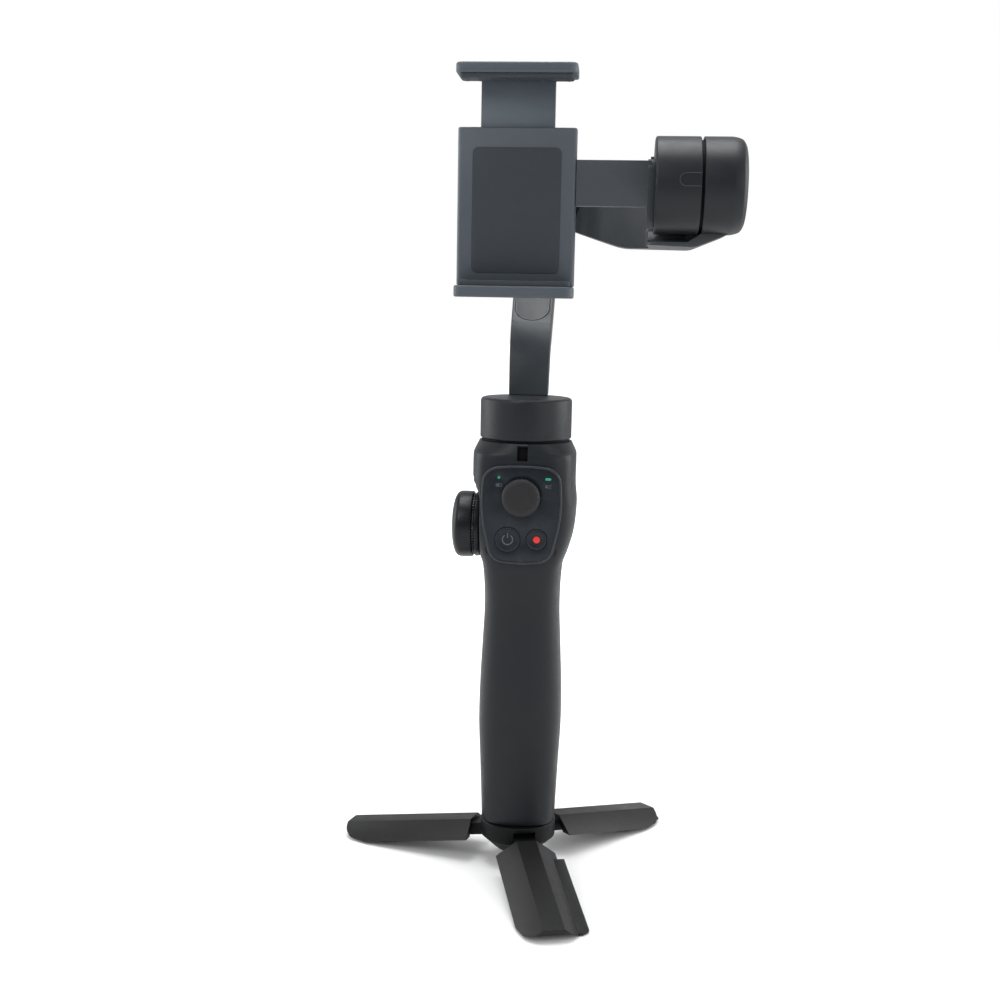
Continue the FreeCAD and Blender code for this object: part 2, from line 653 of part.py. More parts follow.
# ---- Motors ----
def bearing_post(base, top, tail):
    """Flanged tube, drawn about +Z, that holds the two bearings and the stator."""
    post = rod(FLANGE_R, (0, 0, base), (0, 0, base + FLANGE_THICK))
    post = post.fuse(rod(POST_R, (0, 0, base - tail), (0, 0, top)))
    post = post.cut(rod(BEARING_BORE_R + 0.6, (0, 0, base - tail - 1), (0, 0, top + 1)))
    for low in (base - tail, top - BEARING_HEIGHT):
        post = post.cut(rod(BEARING_R + SEAT_GAP, (0, 0, low - 0.001), (0, 0, low + BEARING_HEIGHT + 0.001)))
    return post


def bearings(base, top, tail):
    lows = (base - tail, top - BEARING_HEIGHT)
    return Part.makeCompound([tube(BEARING_R, BEARING_BORE_R, (0, 0, low), (0, 0, low + BEARING_HEIGHT))
                              for low in lows])


def stator(low):
    """Toothed core with one coil round each tooth."""
    high = low + STATOR_HEIGHT
    reach = ROTOR_INNER_R - SKIRT_WALL - MAGNET_WALL - AIR_GAP
    core = tube(POST_R + 1.9, POST_R + SEAT_GAP, (0, 0, low), (0, 0, high))
    tooth = block((POST_R + 1, reach), (-TOOTH_WIDTH / 2, TOOTH_WIDTH / 2), (low, high))
    coil = block(COIL_R, (-COIL_WIDTH / 2, COIL_WIDTH / 2), (low - COIL_RISE, high + COIL_RISE)).cut(
        block((0, FAR), (-TOOTH_WIDTH / 2 - SEAT_GAP, TOOTH_WIDTH / 2 + SEAT_GAP),
              (low - SEAT_GAP, high + SEAT_GAP)))
    teeth, coils = [], []
    for i in range(TOOTH_COUNT):
        for piece, group in ((tooth, teeth), (coil, coils)):
            turn = piece.copy()
            turn.rotate(V(), V(0, 0, 1), 360 / TOOTH_COUNT * i)
            group.append(turn)
    bound = rod(reach, (0, 0, low), (0, 0, high))
    core = fused([core] + teeth).common(bound)
    return Part.makeCompound([core] + coils)


def magnet_ring(low, high):
    outer = ROTOR_INNER_R - SKIRT_WALL - SEAT_GAP
    return tube(outer, outer - MAGNET_WALL + SEAT_GAP, (0, 0, low), (0, 0, high))


def rotor_cup(radius, length, skirt_low, end_round):
    """Rotor casing about +Z: an outer wall, a closed end and an inner skirt for the magnets."""
    wall = turned([(0, 0, 0), (radius, 0, 0.4), (radius, length, end_round), (0, length, 0)])
    wall = wall.cut(rod(ROTOR_INNER_R, (0, 0, -1), (0, 0, length - MOTOR_END)))
    inner_top = length - MOTOR_END
    skirt = tube(ROTOR_INNER_R, ROTOR_INNER_R - SKIRT_WALL, (0, 0, skirt_low), (0, 0, inner_top))
    hub = rod(POST_R, (0, 0, inner_top - 0.8), (0, 0, inner_top))
    cup = fused([wall, skirt, hub])
    return cup.cut(rod(BEARING_BORE_R, (0, 0, -FAR), (0, 0, length - 1)))


def fixed_housing(radius, length, end_round):
    """Stator casing about -Z: a wall and a closed end."""
    case = turned([(0, -length, 0), (radius, -length, end_round), (radius, 0, 0.4), (0, 0, 0)])
    return case.cut(rod(radius - MOTOR_WALL, (0, 0, MOTOR_END - length), (0, 0, 1)))


def shaft(low, high):
    return rod(BEARING_BORE_R - SHAFT_GAP, (0, 0, low), (0, 0, high))


def motor(name, origin, axis, base, top, tail, stator_low):
    """Inner pieces of one motor, drawn about +Z from the rotor's open edge, then put in place."""
    magnet_low = stator_low - 0.4
    pieces = {
        "bearing_post": bearing_post(base, top, tail),
        "bearings": bearings(base, top, tail),
        "stator": stator(stator_low),
        "magnet_ring": magnet_ring(magnet_low, magnet_low + STATOR_HEIGHT + 0.8),
        "shaft": shaft(base - tail + 0.3, top + 2.2),
    }
    return {f"{name}_{key}": placed(piece, origin, axis) for key, piece in pieces.items()}


def pan_motor():
    top = CUP_HEIGHT - MOTOR_END - 1.2
    pieces = motor("pan", (0, 0, CUP_Z), (0, 0, 1), -CUP_GAP, top, POST_TAIL, 1.4)
    pieces["pan_cup"] = placed(rotor_cup(CUP_R, CUP_HEIGHT, 0.6, EDGE_ROUND), (0, 0, CUP_Z), (0, 0, 1))
    return pieces


def roll_motor():
    origin, axis = (0, ROLL_SPLIT_Y, TILT_Z), (0, -1, 0)
    base = MOTOR_END - ROLL_HOUSING_LENGTH - ROLL_GAP
    top = ROLL_CAP_LENGTH - MOTOR_END - 1.2
    stator_low = base + FLANGE_THICK + COIL_RISE + 0.2
    pieces = motor("roll", origin, axis, base, top, 0, stator_low)
    cap = rotor_cup(MOTOR_R, ROLL_CAP_LENGTH, stator_low - 0.4, EDGE_ROUND)
    pieces["roll_cap"] = placed(cap, origin, axis)
    housing = fixed_housing(MOTOR_R, ROLL_HOUSING_LENGTH, 2.5)
    pieces["roll_housing"] = placed(housing, (0, ROLL_HOUSING_Y, TILT_Z), axis)
    return pieces


def tilt_motor():
    inner_low, inner_high = TILT_INNER_X
    outer_low, outer_high = TILT_OUTER_X
    origin, axis = (inner_high, 0, TILT_Z), (-1, 0, 0)
    base = MOTOR_END - (outer_high - inner_high)
    top = inner_high - inner_low - MOTOR_END - 1.2
    stator_low = base + FLANGE_THICK + COIL_RISE + 0.2
    pieces = motor("tilt", origin, axis, base, top, 0, stator_low)
    cup = rotor_cup(MOTOR_R, inner_high - inner_low, stator_low - 0.4, 0.8)
    pieces["tilt_inner_housing"] = placed(cup, origin, axis)
    housing = fixed_housing(MOTOR_R, outer_high - outer_low, TILT_END_ROUND)
    pieces["tilt_outer_housing"] = placed(housing, (outer_low, 0, TILT_Z), axis)
    return pieces


# ---- Arms ----
def upright_knee():
    return ARM_BASE_Y[0] + ARM_KNEE_BACK, CUP_TOP_Z + ARM_KNEE_RISE


def upright_lean():
    """Angle of the upper part of the arm from vertical, in degrees."""
    y, z = upright_knee()
    return math.degrees(math.atan2(ROLL_HOUSING_Y - y, TILT_Z - ARM_TOP_DROP - z))


def upright_arm():
    """Arm from the pan cup back and up to the roll motor, cut to meet the round housing."""
    y, z = upright_knee()
    top = TILT_Z - ARM_TOP_DROP
    back = ROLL_BACK_Y - ARM_BACK_STEP
    outer_bend, inner_bend = ARM_BENDS
    side = slab([(ARM_BASE_Y[0], CUP_TOP_Z, 0), (ARM_BASE_Y[1], CUP_TOP_Z, 0),
                 (y + ARM_THICK, z - ARM_THICK / 2, outer_bend), (back, top - ARM_THICK, 6), (back, top, 0),
                 (ROLL_HOUSING_Y, top, 0), (y, z, inner_bend)], -FAR, FAR, "x")
    low, high = ARM_HALF_WIDTH
    face = slab([(-low, CUP_TOP_Z, 0), (low, CUP_TOP_Z, 0), (high, top, 0), (-high, top, 0)], -FAR, FAR, "y")
    arm = side.common(face)
    arm = arm.cut(rod(MOTOR_R, (0, ROLL_HOUSING_Y - 0.001, TILT_Z), (0, FAR, TILT_Z)))
    arm = arm.cut(rod(MOTOR_R + CLEARANCE, (0, 0, TILT_Z), (0, ROLL_HOUSING_Y, TILT_Z)))
    return arm.cut(arm_cover(COVER_GAP, 5))


def arm_cover(gap, proud):
    """Long round-ended cover let into the arm's leaning front face."""
    reach = COVER_R + gap
    corners = rectangle((-reach, reach), (-reach, COVER_LENGTH + reach), reach * 0.98)
    plate = slab(corners, -proud, COVER_THICK + gap, "y")
    lean = upright_lean()
    y, z = upright_knee()
    plate.rotate(V(), V(1, 0, 0), -lean)
    plate.translate(V(0, y + COVER_RISE * math.tan(math.radians(lean)), z + COVER_RISE))
    return plate


def roll_arm():
    """Arm from the roll motor's cap round to the tilt motor, which it carries from below."""
    arm = slab(ROLL_ARM_PLAN, -FAR, 2 * FAR, "z").common(slab(ROLL_ARM_FACE, -FAR, FAR, "y"))
    arm = arm.cut(rod(MOTOR_R, (0, 0, TILT_Z), (FAR, 0, TILT_Z)))
    trough_r, cone_x = MOTOR_R + TROUGH_GAP, TILT_OUTER_X[0] - TROUGH_END - TROUGH_CONE
    arm = arm.cut(rod(trough_r, (-FAR, 0, TILT_Z), (cone_x, 0, TILT_Z)))
    narrow = Part.makeCone(trough_r, MOTOR_R + RUNNING_GAP, TROUGH_CONE, V(cone_x, 0, TILT_Z), V(1, 0, 0))
    arm = arm.cut(narrow)
    arm = arm.cut(rod(MOTOR_R, (0, 0, TILT_Z), (0, ROLL_SPLIT_Y, TILT_Z)))
    return arm.cut(rod(MOTOR_R + CLEARANCE, (0, ROLL_SPLIT_Y, TILT_Z), (0, FAR, TILT_Z)))


# ---- Phone clamp ----
def jaw_corners():
    return [(JAW_X[0], JAW_Y[0], JAW_ROUND), (JAW_X[1], JAW_Y[0], JAW_ROUND),
            (JAW_X[1], JAW_Y[1], 1), (JAW_X[0], JAW_Y[1], 1)]


def pad_corners():
    return rectangle((JAW_X[0] + PAD_INSET, JAW_X[1] - PAD_INSET), (JAW_Y[0] + 1, BACK_FRONT_Y - 0.2), 1.5)


def rod_xs():
    return JAW_X[0] + ROD_INSET, JAW_X[1] - ROD_INSET


def rod_y():
    return (SLIDER_Y[0] + SLIDER_Y[1]) / 2


def clamp_bracket():
    """Arm of the clamp: a plate on the tilt motor's face and a bar to the clamp's back."""
    x = TILT_INNER_X[0]
    heights = (TILT_Z + BRACKET_Z[0], TILT_Z + BRACKET_Z[1])
    plate = slab(rectangle(BRACKET_Y, heights, BRACKET_ROUND), x - BRACKET_PLATE, x, "x")
    heights = (TILT_Z - BAR_HALF_HEIGHT, TILT_Z + BAR_HALF_HEIGHT)
    bar = block((JAW_X[1], x - BRACKET_PLATE / 2), BAR_Y, heights)
    return fused([plate, bar])


def clamp_back():
    """Back of the clamp: a flat case, open inside for the sliding jaw, its rods and springs."""
    low = LOWER_JAW_Z
    case = slab(jaw_back_corners(), low, BACK_TOP_Z)
    x = (JAW_X[0] + BACK_WALL, JAW_X[1] - BACK_WALL)
    y = (SLIDER_Y[0] - SLIDER_GAP, SLIDER_Y[1] + SLIDER_GAP)
    room = block(x, y, (low + BACK_WALL, BACK_TOP_Z - BACK_WALL))
    slot = block((JAW_X[0] + SLIDER_INSET - SLIDER_GAP, JAW_X[1] - SLIDER_INSET + SLIDER_GAP), y,
                 (low + BACK_WALL, BACK_TOP_Z + 1))
    return case.cut(room).cut(slot)


def jaw_back_corners():
    return rectangle(JAW_X, (BACK_FRONT_Y, JAW_Y[1]), 1.5)


def lower_jaw():
    return slab(jaw_corners(), LOWER_JAW_Z - JAW_THICK[0], LOWER_JAW_Z)


def lower_jaw_pad():
    return slab(pad_corners(), LOWER_JAW_Z, LOWER_PAD_Z)


def upper_jaw():
    """Moving jaw with the flat slider and the foot that run inside the clamp's back."""
    jaw = slab(jaw_corners(), UPPER_JAW_Z, UPPER_JAW_Z + JAW_THICK[1])
    foot_z = BACK_TOP_Z - SLIDER_ENGAGED
    slider = block((JAW_X[0] + SLIDER_INSET, JAW_X[1] - SLIDER_INSET), SLIDER_Y, (foot_z, UPPER_JAW_Z))
    foot = block((JAW_X[0] + BACK_WALL + SLIDER_GAP, JAW_X[1] - BACK_WALL - SLIDER_GAP), SLIDER_Y,
                 (foot_z, foot_z + FOOT_HEIGHT))
    jaw = fused([jaw, slider, foot])
    for x in rod_xs():
        jaw = jaw.cut(rod(ROD_R + RUNNING, (x, rod_y(), 0), (x, rod_y(), foot_z + FOOT_HEIGHT + 1)))
    return jaw


def upper_jaw_pad():
    return slab(pad_corners(), UPPER_PAD_Z, UPPER_JAW_Z)


def clamp_guide_rods():
    low, high = LOWER_JAW_Z + BACK_WALL, BACK_TOP_Z - BACK_WALL
    return Part.makeCompound([rod(ROD_R, (x, rod_y(), low), (x, rod_y(), high)) for x in rod_xs()])


def clamp_springs():
    """Return springs on the rods, between the sliding foot and the top of the case."""
    low, high = BACK_TOP_Z - SLIDER_ENGAGED + FOOT_HEIGHT, BACK_TOP_Z - BACK_WALL
    inner = ROD_R + SLIDER_GAP / 2
    return Part.makeCompound([tube(SPRING_R, inner, (x, rod_y(), low), (x, rod_y(), high)) for x in rod_xs()])


# ---- Mini tripod ----
def around(shape, azimuth):
    turn = shape.copy()
    turn.rotate(V(), V(0, 0, 1), azimuth)
    return turn


def tripod_hub():
    """Ring and bowl under the grip, slotted for the three leg knuckles."""
    hub = turned([(0, HUB_Z - HUB_BOWL_HEIGHT, 0), (HUB_BOWL_R, HUB_Z - HUB_BOWL_HEIGHT, 1.5),
                  (HUB_R - 0.5, HUB_Z, 1), (HUB_R, HUB_Z + 0.4, 0), (HUB_R, GRIP_BOTTOM_Z, 0.6),
                  (0, GRIP_BOTTOM_Z, 0)])
    half = KNUCKLE_HALF_WIDTH + KNUCKLE_GAP
    ceiling = PIVOT_Z + KNUCKLE_R + 0.4
    slot = block((PIVOT_R - KNUCKLE_R - 0.5, FAR), (-half, half), (-FAR, ceiling))
    pin_half = PIN_LENGTH / 2 + 0.1
    pin = rod(PIN_R + SEAT_GAP, (PIVOT_R, -pin_half, PIVOT_Z), (PIVOT_R, pin_half, PIVOT_Z))
    for name, azimuth in LEG_AZIMUTHS:
        hub = hub.cut(around(slot, azimuth)).cut(around(pin, azimuth))
    return hub.cut(rod(STUD_R + THREAD_GAP, (0, 0, GRIP_BOTTOM_Z - STUD_ROOT), (0, 0, GRIP_BOTTOM_Z + 1)))


def tripod_stud():
    low, high = GRIP_BOTTOM_Z - STUD_ROOT, GRIP_BOTTOM_Z + STUD_RISE
    return turned([(0, low, 0), (STUD_R, low, 0), (STUD_R, high, 0.8), (0, high, 0)])


def leg_pins():
    pin = rod(PIN_R, (PIVOT_R, -PIN_LENGTH / 2, PIVOT_Z), (PIVOT_R, PIN_LENGTH / 2, PIVOT_Z))
    return Part.makeCompound([around(pin, azimuth) for name, azimuth in LEG_AZIMUTHS])


def facet_points(inset, edge_deg):
    """Corners of a leg's three facets across the leg, measured from the leg tube's axis."""
    mid = math.asin(LEG_MID_FACET / 2 / LEG_TUBE_R)
    apothem = LEG_TUBE_R * math.cos(mid)
    edge = math.radians(edge_deg)
    tilt = (mid + edge) / 2
    side_apothem = LEG_TUBE_R * math.cos((edge - mid) / 2)
    top = apothem - inset
    side = side_apothem - inset
    corner = (side - top * math.cos(tilt)) / math.sin(tilt)
    bottom = LEG_TUBE_R * math.cos(edge)
    edge_y = (side - bottom * math.cos(tilt)) / math.sin(tilt)
    return corner, top, edge_y, bottom


def leg_solid(inset, reach):
    """The leg's outer form, or its hollow when inset, along X from the pivot, with n along Z."""
    corner, top, edge_y, bottom = facet_points(inset, LEG_EDGE_DEG)
    low = bottom - (1.0 if inset else 0.0)
    spread = edge_y + (0.5 if inset else 0.0) * 1.2
    ring = [(-spread, low - PIVOT_R, 0), (spread, low - PIVOT_R, 0), (corner, top - PIVOT_R, 0),
            (-corner, top - PIVOT_R, 0)]
    bar = slab(ring, 0, FAR, "x")
    root = LEG_ROOT - (LEG_ROOT_WALL if inset else 0)
    half = LEG_TUBE_R - inset
    shoulder, tip = 0 if inset else LEG_ROOT_ROUND, LEG_TIP_ROUND - inset
    plan = slab([(root, -half, shoulder), (reach, -half, tip), (reach, half, tip), (root, half, shoulder)],
                -FAR, FAR, "z")
    deck = top - PIVOT_R + 1
    floor = low - PIVOT_R
    bow = slab([(-5, deck, 0), (-5, floor, 0), (reach - LEG_BOW, floor, 12),
                (reach - LEG_BOW * LEG_BOW_STEP, floor + LEG_TIP_RISE, 6),
                (reach, deck - LEG_TIP_DEPTH, 3), (reach, deck, 0)], -FAR, FAR, "y")
    return bar.common(plan).common(bow)


def leg_shell(extras):
    """One leg, drawn flat along X from its pivot: shell, tongue, knuckle and what it carries."""
    shell = leg_solid(0, LEG_LENGTH).cut(leg_solid(LEG_WALL, LEG_LENGTH - LEG_WALL))
    top = LEG_TUBE_R * math.cos(math.asin(LEG_MID_FACET / 2 / LEG_TUBE_R)) - PIVOT_R
    tongue_top = top - LEG_WALL + 0.5
    tongue = block((0, LEG_ROOT + 7), (-KNUCKLE_HALF_WIDTH, KNUCKLE_HALF_WIDTH), (-2.4, tongue_top))
    knuckle = rod(KNUCKLE_R, (0, -KNUCKLE_HALF_WIDTH, 0), (0, KNUCKLE_HALF_WIDTH, 0))
    leg = fused([shell, tongue, knuckle] + extras)
    return leg.cut(rod(PIN_R + RUNNING, (0, -FAR, 0), (0, FAR, 0)))


def side_lip():
    """Flat lip along one lower edge of the front leg."""
    start, end = LIP_SPAN
    corners = [(start, LIP_Y[0], 0), (end, LIP_Y[0], 0), (end, LIP_Y[1] - 2.5, 0), (end - 1.5, LIP_Y[1], 0.5),
               (start, LIP_Y[1], 0)]
    return slab(corners, LIP_HEIGHT, LIP_HEIGHT + LIP_THICK)


def toe_plate():
    """Thin toe in the side wall of the right leg, reaching past its tip."""
    corner, top, edge_y, bottom = facet_points(0, LEG_EDGE_DEG)
    slope = math.degrees(math.atan2(top - bottom, edge_y - corner))
    low, high = TOE_SPAN
    corners = [(low, -8.6, 0), (high - 4.9, -6.5, 0), (high, -5.1, 0.4), (high, -3.8, 1), (high - 2.9, -2, 0),
               (low, -2, 0)]
    toe = slab(corners, -TOE_DEPTH - LIP_THICK, -TOE_DEPTH)
    toe.rotate(V(), V(1, 0, 0), slope)
    toe.translate(V(0, -corner, top - PIVOT_R))
    return toe


def deployed(shape, azimuth):
    """From the leg's own frame to its place on the opened tripod."""
    leg = shape.copy()
    leg.rotate(V(), V(0, 1, 0), LEG_DROOP_DEG)
    leg.translate(V(PIVOT_R, 0, PIVOT_Z))
    return around(leg, azimuth)


def foot_pad(azimuth):
    """Rubber foot under a leg's tip, flat where it stands on the ground."""
    top = LEG_TUBE_R * math.cos(math.asin(LEG_MID_FACET / 2 / LEG_TUBE_R)) - PIVOT_R - LEG_WALL
    mid_half = LEG_MID_FACET / 2 - 0.9
    pad = slab([(-PAD_HALF_WIDTH, -12, 0), (PAD_HALF_WIDTH, -12, 0), (PAD_HALF_WIDTH, top - 2.6, 0),
                (mid_half, top, 0), (-mid_half, top, 0), (-PAD_HALF_WIDTH, top - 2.6, 0)],
               PAD_SPAN[0], PAD_SPAN[1], "x")
    return deployed(pad, azimuth).common(block((-FAR, FAR), (-FAR, FAR), (0, FAR)))


# ---- All the pieces ----
def pieces():
    front, rear = handle_shells()
    nodes = {
        "grip_front_shell": front,
        "grip_rear_shell": rear,
        "shell_screws": shell_screws(),
        "control_panel": control_panel(),
        "indicator_lights": indicator_lights(),
        "main_circuit_board": main_circuit_board(),
        "key_switches": key_switches(),
        "joystick_module": joystick_module(),
        "joystick_ring": joystick_ring(),
        "joystick_cap": joystick_cap(),
        "power_key": key(POWER_KEY, POWER_KEY_R),
        "record_key": key(RECORD_KEY, RECORD_KEY_R),
        "zoom_wheel": zoom_wheel(),
        "wheel_encoder": wheel_encoder(),
        "battery_cell": battery_cell(),
        "battery_cradle": battery_cradle(),
        "tripod_socket": tripod_socket(),
        "charging_socket": charging_socket(),
        "upright_arm": upright_arm(),
        "upright_arm_cover": arm_cover(0, 0),
        "roll_arm": roll_arm(),
        "clamp_bracket": clamp_bracket(),
        "clamp_back": clamp_back(),
        "clamp_guide_rods": clamp_guide_rods(),
        "clamp_springs": clamp_springs(),
        "lower_jaw": lower_jaw(),
        "lower_jaw_pad": lower_jaw_pad(),
        "upper_jaw": upper_jaw(),
        "upper_jaw_pad": upper_jaw_pad(),
        "tripod_hub": tripod_hub(),
        "tripod_stud": tripod_stud(),
        "leg_pins": leg_pins(),
    }
    nodes.update(pan_motor())
    nodes.update(roll_motor())
    nodes.update(tilt_motor())
    extras = {"front": [side_lip()], "right": [toe_plate()], "left": []}
    for name, azimuth in LEG_AZIMUTHS:
        nodes[f"leg_{name}"] = deployed(leg_shell(extras[name]), azimuth)
        nodes[f"foot_pad_{name}"] = foot_pad(azimuth)
    return nodes


os.makedirs("parts", exist_ok=True)
for node, shape in pieces().items():
    shape.exportStep(f"parts/{node}.step")
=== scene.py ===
import bmesh
import bpy
import math
from mathutils import Matrix, Vector


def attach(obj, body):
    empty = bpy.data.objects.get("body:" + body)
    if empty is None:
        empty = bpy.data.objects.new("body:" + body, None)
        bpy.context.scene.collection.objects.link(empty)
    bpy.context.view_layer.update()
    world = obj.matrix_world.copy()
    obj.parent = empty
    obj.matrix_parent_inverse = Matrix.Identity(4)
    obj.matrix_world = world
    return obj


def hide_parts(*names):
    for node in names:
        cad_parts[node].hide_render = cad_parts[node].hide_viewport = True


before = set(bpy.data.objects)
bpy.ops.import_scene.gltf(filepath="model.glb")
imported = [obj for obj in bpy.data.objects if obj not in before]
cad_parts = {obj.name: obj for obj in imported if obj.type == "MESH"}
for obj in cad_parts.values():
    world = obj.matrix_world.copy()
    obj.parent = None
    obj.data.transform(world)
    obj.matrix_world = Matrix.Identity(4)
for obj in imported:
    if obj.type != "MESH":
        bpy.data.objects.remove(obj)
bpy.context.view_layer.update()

# Lengths are in millimetres while a piece is drawn, and become metres when it is finished.
MM = 0.001
TURN = 2 * math.pi


# ---- Materials ----
def node(tree, kind, **values):
    made = tree.nodes.new(kind)
    for key, value in values.items():
        if hasattr(made, key):
            setattr(made, key, value)
        else:
            made.inputs[key.replace("_", " ")].default_value = value
    return made


COAT_ROUGHNESS = 0.18
GRAIN_DEPTH = 0.0001
CLOUD_SCALE, SMUDGE_SCALE = 28.0, 140.0
# Pointiness range of the paler edges, which are partly rubbing and partly a painted highlight.
EDGE_FROM, EDGE_TO = 0.53, 0.62
ROUGHNESS_SPREAD = 0.05


def set_range(node_made, from_min, from_max, to_min=0.0, to_max=1.0):
    """Fills in a map range node."""
    sockets = ("From Min", "From Max", "To Min", "To Max")
    for socket, value in zip(sockets, (from_min, from_max, to_min, to_max)):
        node_made.inputs[socket].default_value = value
    return node_made


def finish_material(name, colour, rough, grain=(4000, 0.02), cloud=0.10, coat=0.0, metal=0.0,
                    edge_rub_and_highlight=0.35, shine=0.5):
    """Moulded or machined finish: fine grain, cloudy colour and roughness, and paler edges, partly rubbed and
    partly a painted highlight.
    """
    made = bpy.data.materials.new(name)
    made.use_nodes = True
    tree = made.node_tree
    link = tree.links.new
    shader = tree.nodes["Principled BSDF"]
    shader.inputs["Metallic"].default_value = metal
    shader.inputs["Coat Weight"].default_value = coat
    shader.inputs["Coat Roughness"].default_value = COAT_ROUGHNESS
    shader.inputs["Specular IOR Level"].default_value = shine
    place = node(tree, "ShaderNodeTexCoord").outputs["Object"]
    fine = node(tree, "ShaderNodeTexNoise", Scale=grain[0], Detail=2.0)
    broad = node(tree, "ShaderNodeTexNoise", Scale=CLOUD_SCALE, Detail=3.0, Roughness=0.6)
    smudge = node(tree, "ShaderNodeTexNoise", Scale=SMUDGE_SCALE, Detail=4.0, Roughness=0.65)
    for texture in (fine, broad, smudge):
        link(place, texture.inputs["Vector"])
    bump = node(tree, "ShaderNodeBump", Strength=grain[1] * 10, Distance=GRAIN_DEPTH)
    link(fine.outputs["Fac"], bump.inputs["Height"])
    link(bump.outputs["Normal"], shader.inputs["Normal"])
    tint = node(tree, "ShaderNodeMix", data_type="RGBA")
    tint.inputs["A"].default_value = (*[c * (1 - cloud) for c in colour], 1)
    tint.inputs["B"].default_value = (*[min(1, c * (1 + cloud)) for c in colour], 1)
    link(broad.outputs["Fac"], tint.inputs["Factor"])
    # Paler edge colour by pointiness: partly rubbing, partly a painted edge highlight.
    rubbed_and_lit_edge = node(tree, "ShaderNodeMix", data_type="RGBA")
    rubbed_and_lit_edge.inputs["B"].default_value = (*[min(1, c * (1 + edge_rub_and_highlight) + 0.012 * edge_rub_and_highlight) for c in colour], 1)
    edge = set_range(node(tree, "ShaderNodeMapRange"), EDGE_FROM, EDGE_TO)
    link(node(tree, "ShaderNodeNewGeometry").outputs["Pointiness"], edge.inputs["Value"])
    link(edge.outputs["Result"], rubbed_and_lit_edge.inputs["Factor"])
    link(tint.outputs["Result"], rubbed_and_lit_edge.inputs["A"])
    link(rubbed_and_lit_edge.outputs["Result"], shader.inputs["Base Color"])
    gloss = set_range(node(tree, "ShaderNodeMapRange"), 0.3, 0.7,
                      max(0.04, rough - ROUGHNESS_SPREAD), min(1.0, rough + ROUGHNESS_SPREAD))
    link(smudge.outputs["Fac"], gloss.inputs["Value"])
    link(gloss.outputs["Result"], shader.inputs["Roughness"])
    return made


def glowing(name, colour, strength):
    made = finish_material(name, colour, 0.25, edge_rub_and_highlight=0.0)
    shader = made.node_tree.nodes["Principled BSDF"]
    shader.inputs["Emission Color"].default_value = (*colour, 1)
    shader.inputs["Emission Strength"].default_value = strength
    return made


SOFT_TOUCH = finish_material("soft_touch_slate", (0.0125, 0.0155, 0.0190), 0.40, (5200, 0.030),
                             shine=0.30)
MOTOR_SHELL = finish_material("motor_shell_slate", (0.0135, 0.0158, 0.0198), 0.42, (5200, 0.030),
                              shine=0.34)
ARM_SHELL = finish_material("arm_slate", (0.042, 0.049, 0.056), 0.44, (5200, 0.030), shine=0.40)
JAW_SHELL = finish_material("jaw_blue_grey", (0.086, 0.103, 0.121), 0.45, (4200, 0.030), shine=0.40)
PANEL_FACE = finish_material("panel_navy_grey", (0.0105, 0.0155, 0.0215), 0.30, (7000, 0.012),
                             coat=0.08, edge_rub_and_highlight=0.6, shine=0.34)
PANEL_RIM = finish_material("panel_rim_grey", (0.027, 0.033, 0.040), 0.34, (6000, 0.015), edge_rub_and_highlight=0.5)
STICK_RUBBER = finish_material("stick_rubber", (0.020, 0.020, 0.0215), 0.52, (3200, 0.05), shine=0.35)
KEY_FACE = finish_material("key_charcoal", (0.0115, 0.0145, 0.0185), 0.36, (6500, 0.015), edge_rub_and_highlight=0.5,
                           shine=0.35)
WHEEL_SHELL = finish_material("wheel_black", (0.0062, 0.0076, 0.0095), 0.34, (6500, 0.012),
                              edge_rub_and_highlight=0.6, shine=0.32)
KNURL_METAL = finish_material("knurl_dark_metal", (0.045, 0.047, 0.052), 0.26, (5000, 0.02), metal=1.0)
TRIPOD_SHELL = finish_material("tripod_charcoal", (0.0110, 0.0110, 0.0116), 0.42, (3600, 0.045),
                               shine=0.34)
HUB_SHELL = finish_material("hub_black", (0.0035, 0.0040, 0.0046), 0.42, (3600, 0.040), shine=0.16)
FOOT_RUBBER = finish_material("foot_rubber", (0.010, 0.010, 0.011), 0.72, (1800, 0.08), edge_rub_and_highlight=0.2,
                              shine=0.3)
PAD_RUBBER = finish_material("pad_rubber", (0.046, 0.055, 0.065), 0.62, (2400, 0.06), edge_rub_and_highlight=0.2,
                             shine=0.3)
# Near-black that paints shade into gaps, wells, splits and recesses.
SHADE_BLACK = finish_material("painted_shade_black", (0.003, 0.003, 0.004), 0.6, edge_rub_and_highlight=0.0, shine=0.1)
MARK_GREY = finish_material("mark_pale_grey", (0.115, 0.135, 0.160), 0.45, edge_rub_and_highlight=0.0)
MARK_DIM = finish_material("mark_dim_grey", (0.035, 0.042, 0.051), 0.45, edge_rub_and_highlight=0.0)
# Pale grey for the tilt pointer's moulded outline and for the painted highlight round the arm cover.
OUTLINE_AND_HIGHLIGHT_GREY = finish_material("outline_and_highlight_grey", (0.060, 0.068, 0.078), 0.45, edge_rub_and_highlight=0.0)
STEEL = finish_material("plated_steel", (0.45, 0.46, 0.48), 0.28, (2600, 0.03), metal=1.0)
DARK_STEEL = finish_material("blackened_steel", (0.055, 0.056, 0.060), 0.34, (2600, 0.03), metal=1.0)
MAGNET = finish_material("magnet_nickel", (0.33, 0.34, 0.36), 0.30, (2600, 0.02), metal=1.0)
COPPER = finish_material("copper_winding", (0.42, 0.17, 0.07), 0.32, (900, 0.2), metal=1.0)
BRASS = finish_material("turned_brass", (0.55, 0.40, 0.18), 0.30, (2600, 0.03), metal=1.0)
BOARD = finish_material("board_green", (0.01, 0.09, 0.035), 0.35, (900, 0.05), coat=0.3)
BLACK_PLASTIC = finish_material("moulded_black", (0.012, 0.012, 0.013), 0.45, (3000, 0.04))
